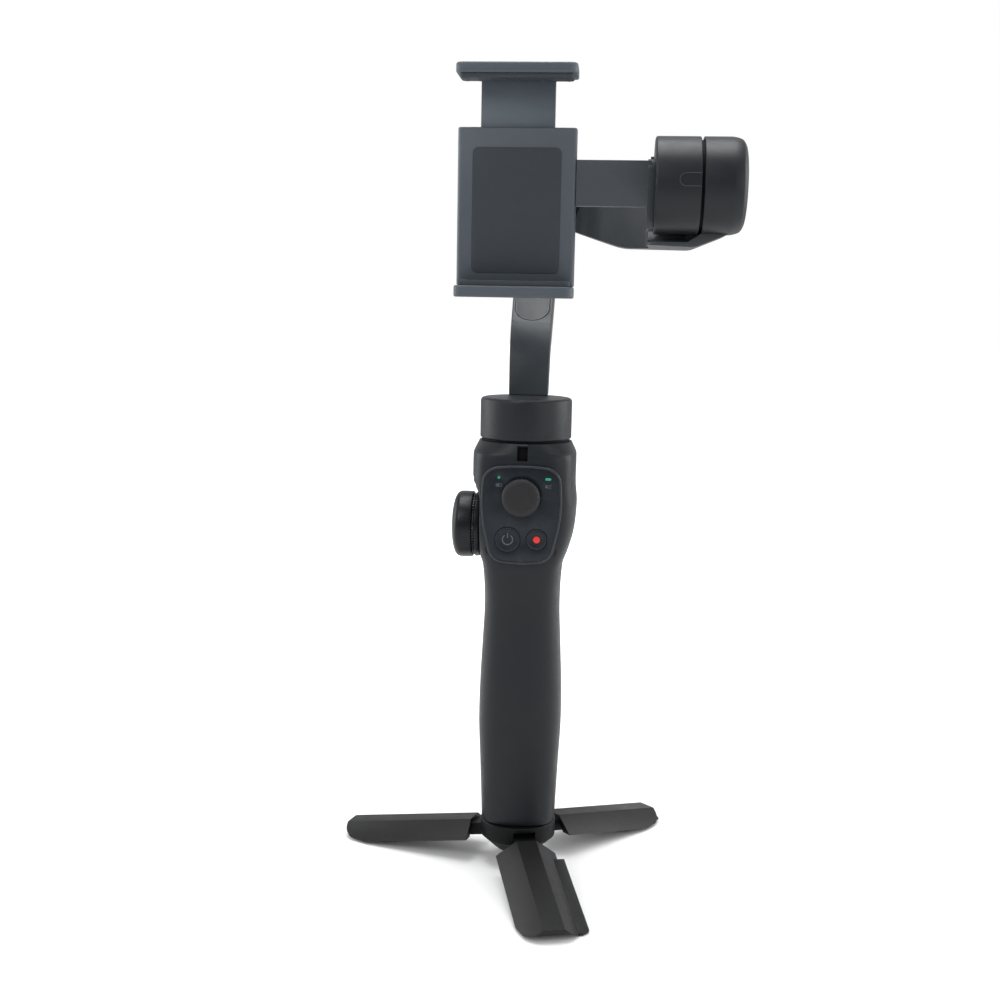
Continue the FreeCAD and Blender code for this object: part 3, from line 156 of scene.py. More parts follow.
CELL_SLEEVE = finish_material("cell_sleeve", (0.02, 0.07, 0.22), 0.3, (1500, 0.02), coat=0.4)
# The record dot is no lamp; its faint glow is painted light.
RED_MARK_PAINTED_GLOW = glowing("record_red_painted_glow", (0.70, 0.03, 0.03), 0.20)
GREEN_LIGHT = glowing("light_green", (0.02, 0.33, 0.16), 0.30)


# ---- Drawing tools ----
WELD, CAD_WELD = 0.0005, 0.002


def lathe(profile, steps=96, sweep=TURN):
    """Spins a (radius, height, rounding) profile about Z; the rounding softens that corner."""
    bm = bmesh.new()
    corners = [bm.verts.new((radius, 0, height)) for radius, height, rounding in profile]
    for pair in zip(corners, corners[1:]):
        bm.edges.new(pair)
    for corner, (radius, height, rounding) in zip(corners, profile):
        if rounding:
            bmesh.ops.bevel(bm, geom=[corner], offset=rounding, affect="VERTICES", segments=5,
                            profile=0.5, material=-1)
    geometry = bm.verts[:] + bm.edges[:]
    bmesh.ops.spin(bm, geom=geometry, cent=(0, 0, 0), axis=(0, 0, 1), angle=sweep, steps=steps,
                   use_merge=sweep == TURN)
    bmesh.ops.remove_doubles(bm, verts=bm.verts, dist=WELD)
    return bm


def aim(bm, origin, axis):
    """Moves a piece drawn about +Z so that its origin and Z axis lie as given."""
    turn = Vector(axis).to_track_quat("Z", "Y").to_matrix().to_4x4()
    bmesh.ops.transform(bm, matrix=Matrix.Translation(origin) @ turn, verts=bm.verts)
    return bm


def facing_front(bm):
    """Stands a piece drawn in X and Y up, so that its Y becomes Z and its Z faces the front."""
    bmesh.ops.transform(bm, matrix=Matrix.Rotation(math.radians(90), 4, "X"), verts=bm.verts)
    return bm


def rounded_face(bm, corners):
    """A flat face through (x, y, radius) corners."""
    points = [Vector((x, y, 0)) for x, y, radius in corners]
    made = [bm.verts.new(point) for point in points]
    bm.faces.new(made)
    for i, (x, y, radius) in enumerate(corners):
        if radius:
            back = points[i - 1] - points[i]
            on = points[(i + 1) % len(points)] - points[i]
            run = radius / math.tan(back.angle(on) / 2)
            bmesh.ops.bevel(bm, geom=[made[i]], offset=run, affect="VERTICES", segments=8,
                            profile=0.5, material=-1)
    return bm.faces[:]


def soften(bm, width, segments=3, over=40):
    """Rounds every edge that turns more than a given angle."""
    edges = [edge for edge in bm.edges
             if len(edge.link_faces) == 2 and edge.calc_face_angle(0) > math.radians(over)]
    bmesh.ops.bevel(bm, geom=edges, offset=width, offset_type="OFFSET", affect="EDGES", segments=segments,
                    profile=0.5, material=-1, clamp_overlap=True)
    return bm


def points_of(geometry):
    return [item for item in geometry if isinstance(item, bmesh.types.BMVert)]


def raise_faces(bm, height):
    """Gives a flat drawing its thickness."""
    made = bmesh.ops.extrude_face_region(bm, geom=bm.faces[:], use_keep_orig=True)["geom"]
    bmesh.ops.translate(bm, vec=(0, 0, height), verts=points_of(made))
    bmesh.ops.recalc_face_normals(bm, faces=bm.faces)


def slice_plane(bm, place, normal, clear=False):
    """Cuts a drawing along a plane, and clears what lies beyond it if asked."""
    bmesh.ops.bisect_plane(bm, geom=bm.verts[:] + bm.edges[:] + bm.faces[:], plane_co=place,
                           plane_no=normal, clear_outer=clear)


def plate(corners, low, high, holes=(), edge=0.3, segments=3):
    """A flat plate with rounded corners and round holes, drawn in X and Y between two heights."""
    bm = bmesh.new()
    faces = rounded_face(bm, corners)
    if holes:
        bmesh.ops.delete(bm, geom=faces, context="FACES_ONLY")
        for x, y, radius in holes:
            made = bmesh.ops.create_circle(bm, segments=48, radius=radius)["verts"]
            bmesh.ops.translate(bm, vec=(x, y, 0), verts=made)
        bmesh.ops.triangle_fill(bm, edges=bm.edges[:], use_beauty=True)
    bmesh.ops.translate(bm, vec=(0, 0, low), verts=bm.verts)
    raise_faces(bm, high - low)
    return soften(bm, edge, segments) if edge else bm


def rounded_box(low, high, edge, segments=3):
    bm = bmesh.new()
    bmesh.ops.create_cube(bm, size=1)
    size = Vector(high) - Vector(low)
    bmesh.ops.scale(bm, vec=size, verts=bm.verts)
    bmesh.ops.translate(bm, vec=(Vector(high) + Vector(low)) / 2, verts=bm.verts)
    return soften(bm, edge, segments)


def join(target, *others):
    """Adds other drawings to the first."""
    for other in others:
        mesh = bpy.data.meshes.new("joined")
        other.to_mesh(mesh)
        other.free()
        target.from_mesh(mesh)
        bpy.data.meshes.remove(mesh)
    return target


def around(make, count, origin=(0, 0, 0), axis="Z"):
    """Repeats a drawing evenly round an axis."""
    made = make()
    for i in range(1, count):
        turned = make()
        turn = Matrix.Rotation(TURN * i / count, 4, axis)
        bmesh.ops.transform(turned, matrix=turn, verts=turned.verts)
        join(made, turned)
    bmesh.ops.translate(made, vec=origin, verts=made.verts)
    return made


def piece(name, bm, material, body, slot, *nodes, sharp=34, outward=True):
    """Finishes a drawing: welds it, turns its faces outwards, and lets it ride on its body."""
    bmesh.ops.remove_doubles(bm, verts=bm.verts, dist=WELD)
    if outward:
        bmesh.ops.recalc_face_normals(bm, faces=bm.faces)
    bmesh.ops.scale(bm, vec=(MM, MM, MM), verts=bm.verts)
    for face in bm.faces:
        face.smooth = True
    for edge in bm.edges:
        edge.smooth = len(edge.link_faces) != 2 or edge.calc_face_angle(0) < math.radians(sharp)
    mesh = bpy.data.meshes.new(name)
    bm.to_mesh(mesh)
    bm.free()
    made = bpy.data.objects.new(name, mesh)
    bpy.context.collection.objects.link(made)
    for one in (material if isinstance(material, tuple) else (material,)):
        mesh.materials.append(one)
    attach(made, body)
    if nodes:
        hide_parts(*nodes)
    return made


def softened_copy(node_name, material, body, slot, width, over=24):
    """A CAD node's own shape with its flat faces joined up and its edges rounded."""
    bm = bmesh.new()
    bm.from_mesh(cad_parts[node_name].data)
    bmesh.ops.scale(bm, vec=(1 / MM, 1 / MM, 1 / MM), verts=bm.verts)
    bmesh.ops.remove_doubles(bm, verts=bm.verts, dist=CAD_WELD)
    bmesh.ops.dissolve_limit(bm, angle_limit=math.radians(0.6), verts=bm.verts, edges=bm.edges)
    made = piece(node_name + "_finish", bm, material, body, slot, node_name, outward=False, sharp=180)
    rounding = made.modifiers.new("edges", "BEVEL")
    rounding.width = width * MM
    rounding.segments = 3
    rounding.limit_method = "ANGLE"
    rounding.angle_limit = math.radians(over)
    rounding.harden_normals = True
    return made


def repaint(material, *names):
    """Gives a CAD node that keeps its shape a finished material."""
    for name in names:
        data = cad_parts[name].data
        data.materials.clear()
        data.materials.append(material)


# ---- Places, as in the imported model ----
GRIP_Z, DECK_Z = 17.2, 163.3
CUP_Z, CUP_HEIGHT = 164.1, 15.0
TILT_Z, MOTOR_R, CUP_R, SHAFT_R = 256.0, 17.2, 16.9, 3
PANEL_Y, STICK_Z = -19.3, 144.6
STICK_PIVOT_Y, STICK_CAP_Y, STICK_R = -14.3, -21.6, 6.9
POWER, RECORD = (-4.7, 128.9), (5.8, 129.1)
POWER_R, RECORD_R = 4.3, 3.5
WHEEL_Z, WHEEL_X, RECESS_X = 131.1, -15.9, -15.4
ROLL_SPLIT_Y, ROLL_HOUSING_Y = 56.6, 57.2
TILT_INNER_X, TILT_OUTER_X = 60.3, 61.3
ARM_LEAN = math.atan2(44.0, 43.4)
COVER_PLACE = (0, 13.2 + 12 * math.tan(ARM_LEAN), 211.6)
COVER_R, COVER_LENGTH = 6.45, 20
SCREW_X, SCREW_ZS, SCREW_SEAT_Y = 8.9, (25.6, 111.5), 7.0
PORT_HALF_WIDTH, PORT_HALF_HEIGHT, PORT_Z = 4.8, 1.95, 142.0
JAW_X, JAW_Y = (-25.9, 16.5), (-18.5, -1.5)
KNUCKLE_REACH, KNUCKLE_AREA = 17.2, 120


# ---- Handle ----
# Height, half width, front depth, rear depth, squareness of the front.
STATIONS = ((17.2, 13.95, 11.6, 12.6, 0.74), (40.3, 14.9, 13.0, 14.2, 0.72), (56.0, 15.6, 14.0, 15.4, 0.70),
            (71.7, 15.4, 14.4, 15.8, 0.70), (87.4, 14.7, 14.5, 15.4, 0.72), (103.1, 14.1, 15.4, 14.8, 0.76),
            (117.9, 14.9, 17.9, 15.4, 0.86), (122.0, 16.4, 18.1, 15.8, 0.88), (130.3, 18.7, 18.4, 16.6, 0.90),
            (141.0, 19.6, 18.6, 17.2, 0.90), (148.0, 19.0, 18.6, 17.4, 0.90), (158.9, 19.0, 18.2, 17.5, 0.84),
            (160.2, 18.6, 17.9, 17.3, 0.78), (163.3, 17.1, 17.1, 17.1, 0.5523))
REAR_SQUARENESS, REAR_SOFTENING = 0.62, 0.07
SHOULDER_Z = 158.0
SHOULDER_RINGS = [158.9, 159.5, 160.2, 161.2, 162.2, DECK_Z]
RING_STEP, RING_COUNT, SKIN_STEPS = 1.9, 74, 144
FOOT_TUCKS = (0.95, 0.985)
END_OPENING = 0.45
WHEEL_RECESS, RECESS_RISE = (108, 143, 153), 4.2
NOWHERE = 99.0
WALL, HALF_GAP = 1.2, 0.09
NOTCH_X, NOTCH_Z, NOTCH_DEPTH = 1.9, (157.3, 162.6), 1.5
LINING_SCALE, LINING_HALF_DEPTH = 0.965, 1.5


def handle_size(z):
    """Half width, depths and squareness at a height, on a smooth line through the stations."""
    last = len(STATIONS) - 1
    i = max(k for k in range(last) if STATIONS[k][0] <= z + 1e-6 or k == 0)
    z0, z1 = STATIONS[i][0], STATIONS[i + 1][0]
    t = (z - z0) / (z1 - z0)

    def slope(k, value):
        low, high = max(k - 1, 0), min(k + 1, last)
        return (STATIONS[high][value] - STATIONS[low][value]) / (STATIONS[high][0] - STATIONS[low][0])

    sizes = []
    for value in range(1, 5):
        a, b = STATIONS[i][value], STATIONS[i + 1][value]
        m0, m1 = slope(i, value) * (z1 - z0), slope(i + 1, value) * (z1 - z0)
        sizes.append((2 * t**3 - 3 * t**2 + 1) * a + (t**3 - 2 * t**2 + t) * m0
                     + (3 * t**2 - 2 * t**3) * b + (t**3 - t**2) * m1)
    return sizes


def handle_point(turn, z):
    """The point on the handle's skin at a share of a turn and a height."""
    half_width, front, rear, square = handle_size(z)
    quarter, t = int(turn * 4) % 4, turn * 4 % 1
    if quarter in (1, 3):
        t = 1 - t
    if quarter > 1:
        depth = -front
    else:
        depth = rear
        rise = max(0.0, z - SHOULDER_Z) / (DECK_Z - SHOULDER_Z)
        square = REAR_SQUARENESS - rise * REAR_SOFTENING
    side = half_width if quarter in (0, 3) else -half_width
    a, b, c, d = (1 - t)**3, 3 * (1 - t)**2 * t, 3 * (1 - t) * t**2, t**3
    x = side * (a + b) + side * square * c
    y = depth * (square * b + c + d)
    x = max(x, wheel_flat(z))
    return Vector((x, y, z))


def wheel_flat(z):
    """How far left the handle may reach beside the wheel."""
    low, level, high = WHEEL_RECESS
    if z < low or z > high:
        return -NOWHERE
    if z < level:
        return RECESS_X
    t = (z - level) / (high - level)
    return RECESS_X - RECESS_RISE * t * t * (3 - 2 * t)


def handle_skin():
    """The handle's whole skin, pulled up ring by ring from a circle."""
    bm = bmesh.new()
    turn = bm.verts.layers.float.new("turn")
    ring = bmesh.ops.create_circle(bm, segments=SKIN_STEPS, radius=1)["verts"]
    for vert in ring:
        vert[turn] = math.atan2(vert.co.y, vert.co.x) / TURN % 1
    heights = [GRIP_Z + 0.6 + RING_STEP * i for i in range(RING_COUNT)]
    heights = [GRIP_Z, GRIP_Z + 0.25] + [z for z in heights if z < SHOULDER_Z] + SHOULDER_RINGS
    edges = bm.edges[:]
    for k, z in enumerate(heights):
        if k:
            made = bmesh.ops.extrude_edge_only(bm, edges=edges)["geom"]
            ring = points_of(made)
            edges = [e for e in made if isinstance(e, bmesh.types.BMEdge)]
        tuck = FOOT_TUCKS[k] if k < len(FOOT_TUCKS) else 1.0
        for vert in ring:
            point = handle_point(vert[turn], z)
            vert.co = Vector((point.x * tuck, point.y * tuck, z))
    for edge_ring in ([e for e in bm.edges if e.is_boundary and e.verts[0].co.z < GRIP_Z + 0.1],
                      [e for e in bm.edges if e.is_boundary and e.verts[0].co.z > DECK_Z - 0.1]):
        made = bmesh.ops.extrude_edge_only(bm, edges=edge_ring)["geom"]
        bmesh.ops.scale(bm, vec=(END_OPENING, END_OPENING, 1), verts=points_of(made))
    return bm


def sink_notch(bm):
    """Presses the square notch under the front shoulder; its floor and walls are black, painted shade in the
    recess.
    """
    low, high = NOTCH_Z
    for place, normal in (((-NOTCH_X, 0, 0), (1, 0, 0)), ((NOTCH_X, 0, 0), (1, 0, 0)),
                          ((0, 0, low), (0, 0, 1)), ((0, 0, high), (0, 0, 1))):
        slice_plane(bm, place, normal)
    middles = [(face, face.calc_center_median()) for face in bm.faces]
    floor = [face for face, middle in middles
             if abs(middle.x) < NOTCH_X and low < middle.z < high and middle.y < -8]
    made = bmesh.ops.extrude_face_region(bm, geom=floor)["geom"]
    bmesh.ops.delete(bm, geom=floor, context="FACES")
    bmesh.ops.translate(bm, vec=(0, NOTCH_DEPTH, 0), verts=points_of(made))
    for face in made:
        if isinstance(face, bmesh.types.BMFace):
            face.material_index = 1


def handle_half(side):
    """Front or rear half of the handle, with a wall and a fine gap where the halves meet."""
    bm = handle_skin()
    slice_plane(bm, (0, HALF_GAP * side, 0), (0, -side, 0), clear=True)
    if side < 0:
        sink_notch(bm)
    bmesh.ops.recalc_face_normals(bm, faces=bm.faces)
    middle = Vector((0, 0, (GRIP_Z + DECK_Z) / 2))
    if sum(f.calc_area() * f.normal.dot(f.calc_center_median() - middle) for f in bm.faces) < 0:
        bmesh.ops.reverse_faces(bm, faces=bm.faces)
    bmesh.ops.solidify(bm, geom=bm.faces[:], thickness=WALL)
    return bm


def box_corners(x, y, half_x, half_y, radius):
    """Corners of an upright rectangle, for a plate."""
    return [(x - half_x, y - half_y, radius), (x + half_x, y - half_y, radius),
            (x + half_x, y + half_y, radius), (x - half_x, y + half_y, radius)]


def rear_openings():
    """What is cut from the rear half: four screw wells and the charging opening."""
    wells = [aim(lathe([(0, 0, 0), (2.05, 0, 0), (2.05, 12, 0), (0, 12, 0)], 48),
                 (x, SCREW_SEAT_Y - 0.1, z), (0, 1, 0)) for x in (-SCREW_X, SCREW_X) for z in SCREW_ZS]
    port = plate(box_corners(0, PORT_Z, PORT_HALF_WIDTH, PORT_HALF_HEIGHT, 1.2), -24, -12, edge=0)
    return join(facing_front(port), *wells)


def cut_away(bm, tool):
    """One closed drawing less another."""
    made = []
    for name, drawing in (("cutting", bm), ("tool", tool)):
        bmesh.ops.remove_doubles(drawing, verts=drawing.verts, dist=WELD)
        if name == "tool":
            bmesh.ops.recalc_face_normals(drawing, faces=drawing.faces)
        mesh = bpy.data.meshes.new(name)
        drawing.to_mesh(mesh)
        drawing.free()
        made.append(bpy.data.objects.new(name, mesh))
        bpy.context.collection.objects.link(made[-1])
    cutting = made[0].modifiers.new("cut", "BOOLEAN")
    cutting.operation, cutting.solver, cutting.object = "DIFFERENCE", "EXACT", made[1]
    result = bpy.data.meshes.new_from_object(made[0].evaluated_get(bpy.context.evaluated_depsgraph_get()))
    bm = bmesh.new()
    bm.from_mesh(result)
    for item in made:
        mesh = item.data
        bpy.data.objects.remove(item)
        bpy.data.meshes.remove(mesh)
    bpy.data.meshes.remove(result)
    return bm


def screw_well_shade():
    """Painted shade: black cups that darken the wells round the four screw heads."""
    cup = lathe([(2.05, 0, 0), (2.05, 1.9, 0), (2.35, 1.9, 0), (2.35, -0.3, 0), (1.2, -0.3, 0), (1.2, 0, 0),
                 (2.05, 0, 0)], 48)
    wells = [aim(cup.copy(), (x, SCREW_SEAT_Y, z), (0, 1, 0)) for x in (-SCREW_X, SCREW_X) for z in SCREW_ZS]
    cup.free()
    piece("screw_well_shade", join(*wells), SHADE_BLACK, "handle", "grip_rear")


def seam_shade_lining():
    """Black strip inside the seam: painted shade in the gap between the halves, and it keeps light from
    showing through.
    """
    lining = handle_skin()
    for side in (-1, 1):
        slice_plane(lining, (0, LINING_HALF_DEPTH * side, 0), (0, side, 0), clear=True)
    bmesh.ops.scale(lining, vec=(LINING_SCALE, 1, 1), verts=lining.verts)
    ends = [face for face in lining.faces if abs(face.normal.z) > 0.9]
    bmesh.ops.delete(lining, geom=ends, context="FACES")
    bmesh.ops.recalc_face_normals(lining, faces=lining.faces)
    bmesh.ops.solidify(lining, geom=lining.faces[:], thickness=0.3)
    piece("seam_shade_lining", lining, SHADE_BLACK, "handle", "grip_shell")


def handle():
    piece("grip_front", handle_half(-1), (SOFT_TOUCH, SHADE_BLACK), "handle", "grip_shell", "grip_front_shell")
    rear = cut_away(handle_half(1), rear_openings())
    piece("grip_rear", rear, SOFT_TOUCH, "handle", "grip_rear", "grip_rear_shell", outward=False)
    screw_well_shade()
    seam_shade_lining()
    lip_low, lip_high = 162.7, 163.25
    lip = plate([(-NOTCH_X, lip_low, 0.3), (NOTCH_X, lip_low, 0.3), (NOTCH_X, lip_high, 0.2),
                 (-NOTCH_X, lip_high, 0.2)], 16.9, 17.5, edge=0.12)
    piece("notch_lip", facing_front(lip), PANEL_RIM, "handle", "grip_shell")


# ---- Controls ----
PANEL = [(-10.9, 120.2, 5), (0, 119.0, 40), (10.9, 120.2, 5), (15.0, 138.0, 40), (14.1, 155.2, 5),
         (0, 156.9, 60), (-14.1, 155.2, 5), (-15.0, 138.0, 40)]
PANEL_MIDDLE = 138.3
RIM_SCALE, FACE_SCALE = (0.995, 0.972), (0.945, 0.93)
RIM_BACK, RIM_DEPTH, RIM_WIDTH = 15.4, 4.1, 0.85


def panel_outline(scale, extra=0.0):
    """The panel's outline drawn in a little towards its middle."""
    return [(x * scale[0], PANEL_MIDDLE + (y - PANEL_MIDDLE) * scale[1], radius + extra)
            for x, y, radius in PANEL]


def ring_face(corners, width):
    """A flat ring that follows rounded corners."""
    bm = bmesh.new()
    faces = rounded_face(bm, corners)
    bmesh.ops.inset_region(bm, faces=faces, thickness=width, use_even_offset=True, use_boundary=True)
    bmesh.ops.delete(bm, geom=faces, context="FACES")
    return bm


def panel_rim():
    """Raised rim that frames the control panel."""
    bm = ring_face(panel_outline(RIM_SCALE, 0.9), RIM_WIDTH)
    bmesh.ops.translate(bm, vec=(0, 0, RIM_BACK), verts=bm.verts)
    raise_faces(bm, RIM_DEPTH)
    return facing_front(soften(bm, 0.3))


def icon_ring(x, z, radius, width, front, gap_deg=0):
    """A fine ring mark, open at the top when it has a gap."""
    bm = lathe([(radius - width, 0, 0), (radius, 0, 0), (radius, 0.05, 0), (radius - width, 0.05, 0),
                (radius - width, 0, 0)], 48, TURN - math.radians(gap_deg))
    if gap_deg:
        bmesh.ops.holes_fill(bm, edges=[e for e in bm.edges if e.is_boundary], sides=6)
    bmesh.ops.rotate(bm, matrix=Matrix.Rotation(math.radians(90 + gap_deg / 2), 3, "Z"), verts=bm.verts)
    bmesh.ops.translate(bm, vec=(x, z, -front), verts=bm.verts)
    return facing_front(bm)


def mark(corners, front, thick=0.05):
    return facing_front(plate(corners, -front - thick / 2, -front + thick / 2, edge=0))


def bar(x, z, half_x, half_z, front, radius=0.0, thick=0.05):
    return mark(box_corners(x, z, half_x, half_z, radius), front, thick)


def control_panel():
    light_x, light_z, light_r = -8.2, 151.4, 0.5
    face = plate(panel_outline(FACE_SCALE), 16.6, -PANEL_Y, edge=0.25,
                 holes=[(0, STICK_Z, 5.6), (*POWER, POWER_R + 0.2), (*RECORD, RECORD_R + 0.2),
                        (light_x, light_z, light_r + 0.06)])
    piece("panel_face", facing_front(face), PANEL_FACE, "handle", "panel", "control_panel")
    piece("panel_rim", panel_rim(), PANEL_RIM, "handle", "panel")
    # Black bed behind the panel face: painted shade seen through the gaps round the keys and the light.
    bed = plate([(-13, 121, 4), (13, 121, 4), (13, 154, 4), (-13, 154, 4)], 15.8, 16.4, edge=0,
                holes=[(0, STICK_Z, 5.6)])
    piece("panel_shade_bed", facing_front(bed), SHADE_BLACK, "handle", "panel")
    small = lathe([(0, 0, 0), (light_r, 0, 0.1), (light_r, 1.2, 0.2), (0, 1.2, 0)], 32)
    aim(small, (light_x, -18.15, light_z), (0, -1, 0))
    wide = bar(9.55, 151.2, 1.05, 0.45, PANEL_Y - 0.03, 0.42, 0.1)
    piece("light_guides", join(small, wide), GREEN_LIGHT, "handle", "lights", "indicator_lights")
    front = PANEL_Y - 0.02
    battery = [bar(-8.2, 149.2, 1.0, 0.09, front), bar(-8.2, 148.2, 1.0, 0.09, front),
               bar(-9.2, 148.7, 0.09, 0.6, front), bar(-7.2, 148.7, 0.09, 0.6, front),
               bar(-8.45, 148.7, 0.5, 0.26, front)]
    mode = [bar(9.6, 148.9, 1.1, 0.09, front), bar(9.6, 148.1, 1.1, 0.09, front),
            bar(9.0, 148.5, 0.3, 0.26, front)]
    piece("panel_marks", join(*battery, *mode), MARK_GREY, "handle", "panel")


def joystick():
    cap = lathe([(0, 0, 0), (6.0, 0, 0.3), (STICK_R, 0.6, 0.3), (STICK_R, 1.5, 0.8), (5.6, 2.45, 1.2),
                 (0, 2.58, 0)], 120)
    aim(cap, (0, STICK_CAP_Y, STICK_Z), (0, -1, 0))
    stem = lathe([(0, 0, 0), (2.0, 0, 0.4), (2.0, 7.5, 0), (0, 7.5, 0)], 32)
    aim(stem, (0, STICK_PIVOT_Y, STICK_Z), (0, -1, 0))
    piece("stick_cap", join(cap, stem), STICK_RUBBER, "stick", "stick", "joystick_cap")
    # A rubber boot in the stick's hole; its black also paints the shade ring under the cap.
    boot = lathe([(5.5, 0, 0.2), (4.9, 0.7, 0.3), (3.7, 1.0, 0)], 64)
    piece("stick_boot", aim(boot, (0, -17.2, STICK_Z), (0, -1, 0)), SHADE_BLACK, "handle", "black_plastic")


def keys():
    for name, (x, z), radius, body in (("power", POWER, POWER_R, "power_key"),
                                       ("record", RECORD, RECORD_R, "record_key")):
        cap = lathe([(0, 0, 0), (radius, 0, 0), (radius, 3.4, 0.35), (radius - 0.9, 3.4, 0.3),
                     (radius - 1.3, 3.2, 0.4), (0, 3.1, 0)], 72)
        piece(f"{name}_cap", aim(cap, (x, -16.3, z), (0, -1, 0)), KEY_FACE, body, "keys", body)
        piece(f"{name}_ring", icon_ring(x, z, radius + 0.1, 0.22, PANEL_Y - 0.36), MARK_DIM, body, "keys")
    x, z = POWER
    symbol = join(icon_ring(x, z, 2.0, 0.34, -19.45, 70), bar(x, z + 1.5, 0.17, 0.95, -19.47, 0.1))
    piece("power_symbol", symbol, MARK_GREY, "power_key", "keys")
    x, z = RECORD
    # Red dot with a faint painted glow.
    dot = aim(lathe([(0, 0.12, 0), (1.1, 0.1, 0.1), (1.4, 0, 0)], 32), (x, -19.4, z), (0, -1, 0))
    piece("record_dot", dot, RED_MARK_PAINTED_GLOW, "record_key", "keys")


WHEEL_TEETH = 64


def zoom_wheel():
    origin, outwards = (WHEEL_X, 0, WHEEL_Z), (-1, 0, 0)
    outer = lathe([(0, 2.9, 0), (10.6, 2.9, 0.3), (12.3, 2.9, 0.4), (12.4, 5.6, 0.8), (12.3, 8.8, 1.4),
                   (8.4, 10.6, 2.5), (5.0, 10.6, 0.3), (4.7, 10.35, 0.2), (0, 10.35, 0)], 120)
    inner = lathe([(0, 0, 0), (11.9, 0, 0.5), (12.1, 2.0, 0.4), (10.6, 2.1, 0.2), (0, 2.1, 0)], 120)
    body = join(aim(outer, origin, outwards), aim(inner, origin, outwards))
    piece("wheel_discs", body, WHEEL_SHELL, "wheel", "wheel", "zoom_wheel")
    teeth = around(lambda: rounded_box((10.2, -0.33, 2.1), (11.6, 0.33, 2.9), 0.15, 1), WHEEL_TEETH)
    core = lathe([(10.0, 1.9, 0), (10.9, 1.9, 0), (10.9, 3.1, 0), (10.0, 3.1, 0), (10.0, 1.9, 0)], 96)
    piece("wheel_knurl", aim(join(teeth, core), origin, outwards), KNURL_METAL, "wheel", "wheel", sharp=20)


# ---- Motors ----
MOTOR_STEPS = 144


def motor_split_shade(name, profile, place, axis, body):
    """Painted shade: a black band in the split between two housings."""
    piece(name, aim(lathe(profile, 96), place, axis), SHADE_BLACK, body, "black_plastic")


def motors():
    up, forward, back_way = (0, 0, 1), (0, -1, 0), (0, 1, 0)
    outwards, inwards = (1, 0, 0), (-1, 0, 0)
    cup = lathe([(SHAFT_R, 0.2, 0), (15.9, 0.2, 0), (16.3, 0, 0.15), (CUP_R, 0.4, 0.3),
                 (CUP_R, CUP_HEIGHT, 1.3), (4, CUP_HEIGHT, 0.4), (3.8, 14.9, 0), (0, 14.9, 0)], MOTOR_STEPS)
    piece("pan_shell", aim(cup, (0, 0, CUP_Z), up), MOTOR_SHELL, "upright", "motor_case", "pan_cup")
    motor_split_shade("pan_split_shade", [(16.2, 0, 0), (16.2, 1.2, 0)], (0, 0, DECK_Z - 0.2), up, "handle")
    cap = lathe([(SHAFT_R, 0.2, 0), (16.2, 0.2, 0), (MOTOR_R, 0.3, 0.3), (MOTOR_R, 9.6, 1.4),
                 (0, 9.6, 0)], MOTOR_STEPS)
    piece("roll_front", aim(cap, (0, ROLL_SPLIT_Y, TILT_Z), forward), MOTOR_SHELL, "swing", "motor_case",
          "roll_cap")
    back = lathe([(0, 11.8, 0), (11.2, 11.8, 0.3), (11.5, 11.6, 0.1), (11.8, 11.8, 0.3), (MOTOR_R, 11.8, 2.6),
                  (MOTOR_R, 0.3, 0.3), (16.2, 0.2, 0), (SHAFT_R, 0.2, 0)], MOTOR_STEPS)
    piece("roll_back", aim(back, (0, ROLL_HOUSING_Y, TILT_Z), back_way), MOTOR_SHELL, "upright", "motor_case",
          "roll_housing")
    motor_split_shade("roll_split_shade", [(16.0, -0.4, 0), (16.0, 1.0, 0)], (0, ROLL_SPLIT_Y, TILT_Z), back_way, "upright")
    inner = lathe([(0, 16.1, 0), (12.5, 16.1, 0.3), (MOTOR_R, 16.1, 0.9), (MOTOR_R, 0, 0.4), (16.2, 0, 0),
                   (16.0, 0.3, 0), (SHAFT_R, 0.3, 0)], MOTOR_STEPS)
    piece("tilt_inner", aim(inner, (TILT_INNER_X, 0, TILT_Z), inwards), MOTOR_SHELL, "clamp", "motor_case",
          "tilt_inner_housing")
    outer = lathe([(SHAFT_R, 0.3, 0), (16.0, 0.3, 0), (16.2, 0, 0.1), (MOTOR_R, 0, 0.4), (MOTOR_R, 11.7, 2.0),
                   (MOTOR_R - 1.3, 14.3, 1.8), (13.2, 15.3, 1.5), (0, 15.3, 0)], MOTOR_STEPS)
    piece("tilt_outer", aim(outer, (TILT_OUTER_X, 0, TILT_Z), outwards), MOTOR_SHELL, "swing", "motor_case",
          "tilt_outer_housing")
    motor_split_shade("tilt_split_shade", [(15.9, -0.6, 0), (15.9, 1.6, 0)], (TILT_INNER_X, 0, TILT_Z), outwards, "swing")


def tilt_marker():
    """Fine pointer outline moulded on the tilt motor's front, open towards the split."""
    reach, half_height, half_line = MOTOR_R + 0.02, 2.25, 0.11
    open_x, bend_x, lift = 60.1, 54.8, 0.85
    bend = [math.pi * k / 12 for k in range(13)]
    path = [(bend_x - half_height * math.sin(a), half_height * math.cos(a)) for a in bend]
    path = [(open_x, half_height)] + path + [(open_x, -half_height)]
    bm = bmesh.new()
    for side in (half_line, -half_line):
        loop = []
        for k, (x, height) in enumerate(path):
            ahead, behind = path[min(k + 1, len(path) - 1)], path[max(k - 1, 0)]
            across = Vector((-(ahead[1] - behind[1]), ahead[0] - behind[0])).normalized() * side
            turn = (height + across.y) / reach
            z = TILT_Z + lift + reach * math.sin(turn)
            loop.append(bm.verts.new((x + across.x, -reach * math.cos(turn), z)))
        for pair in zip(loop, loop[1:]):
            bm.edges.new(pair)
    bmesh.ops.bridge_loops(bm, edges=bm.edges[:])
    bmesh.ops.solidify(bm, geom=bm.faces[:], thickness=0.08)
    piece("tilt_pointer", bm, OUTLINE_AND_HIGHLIGHT_GREY, "clamp", "motor_case")


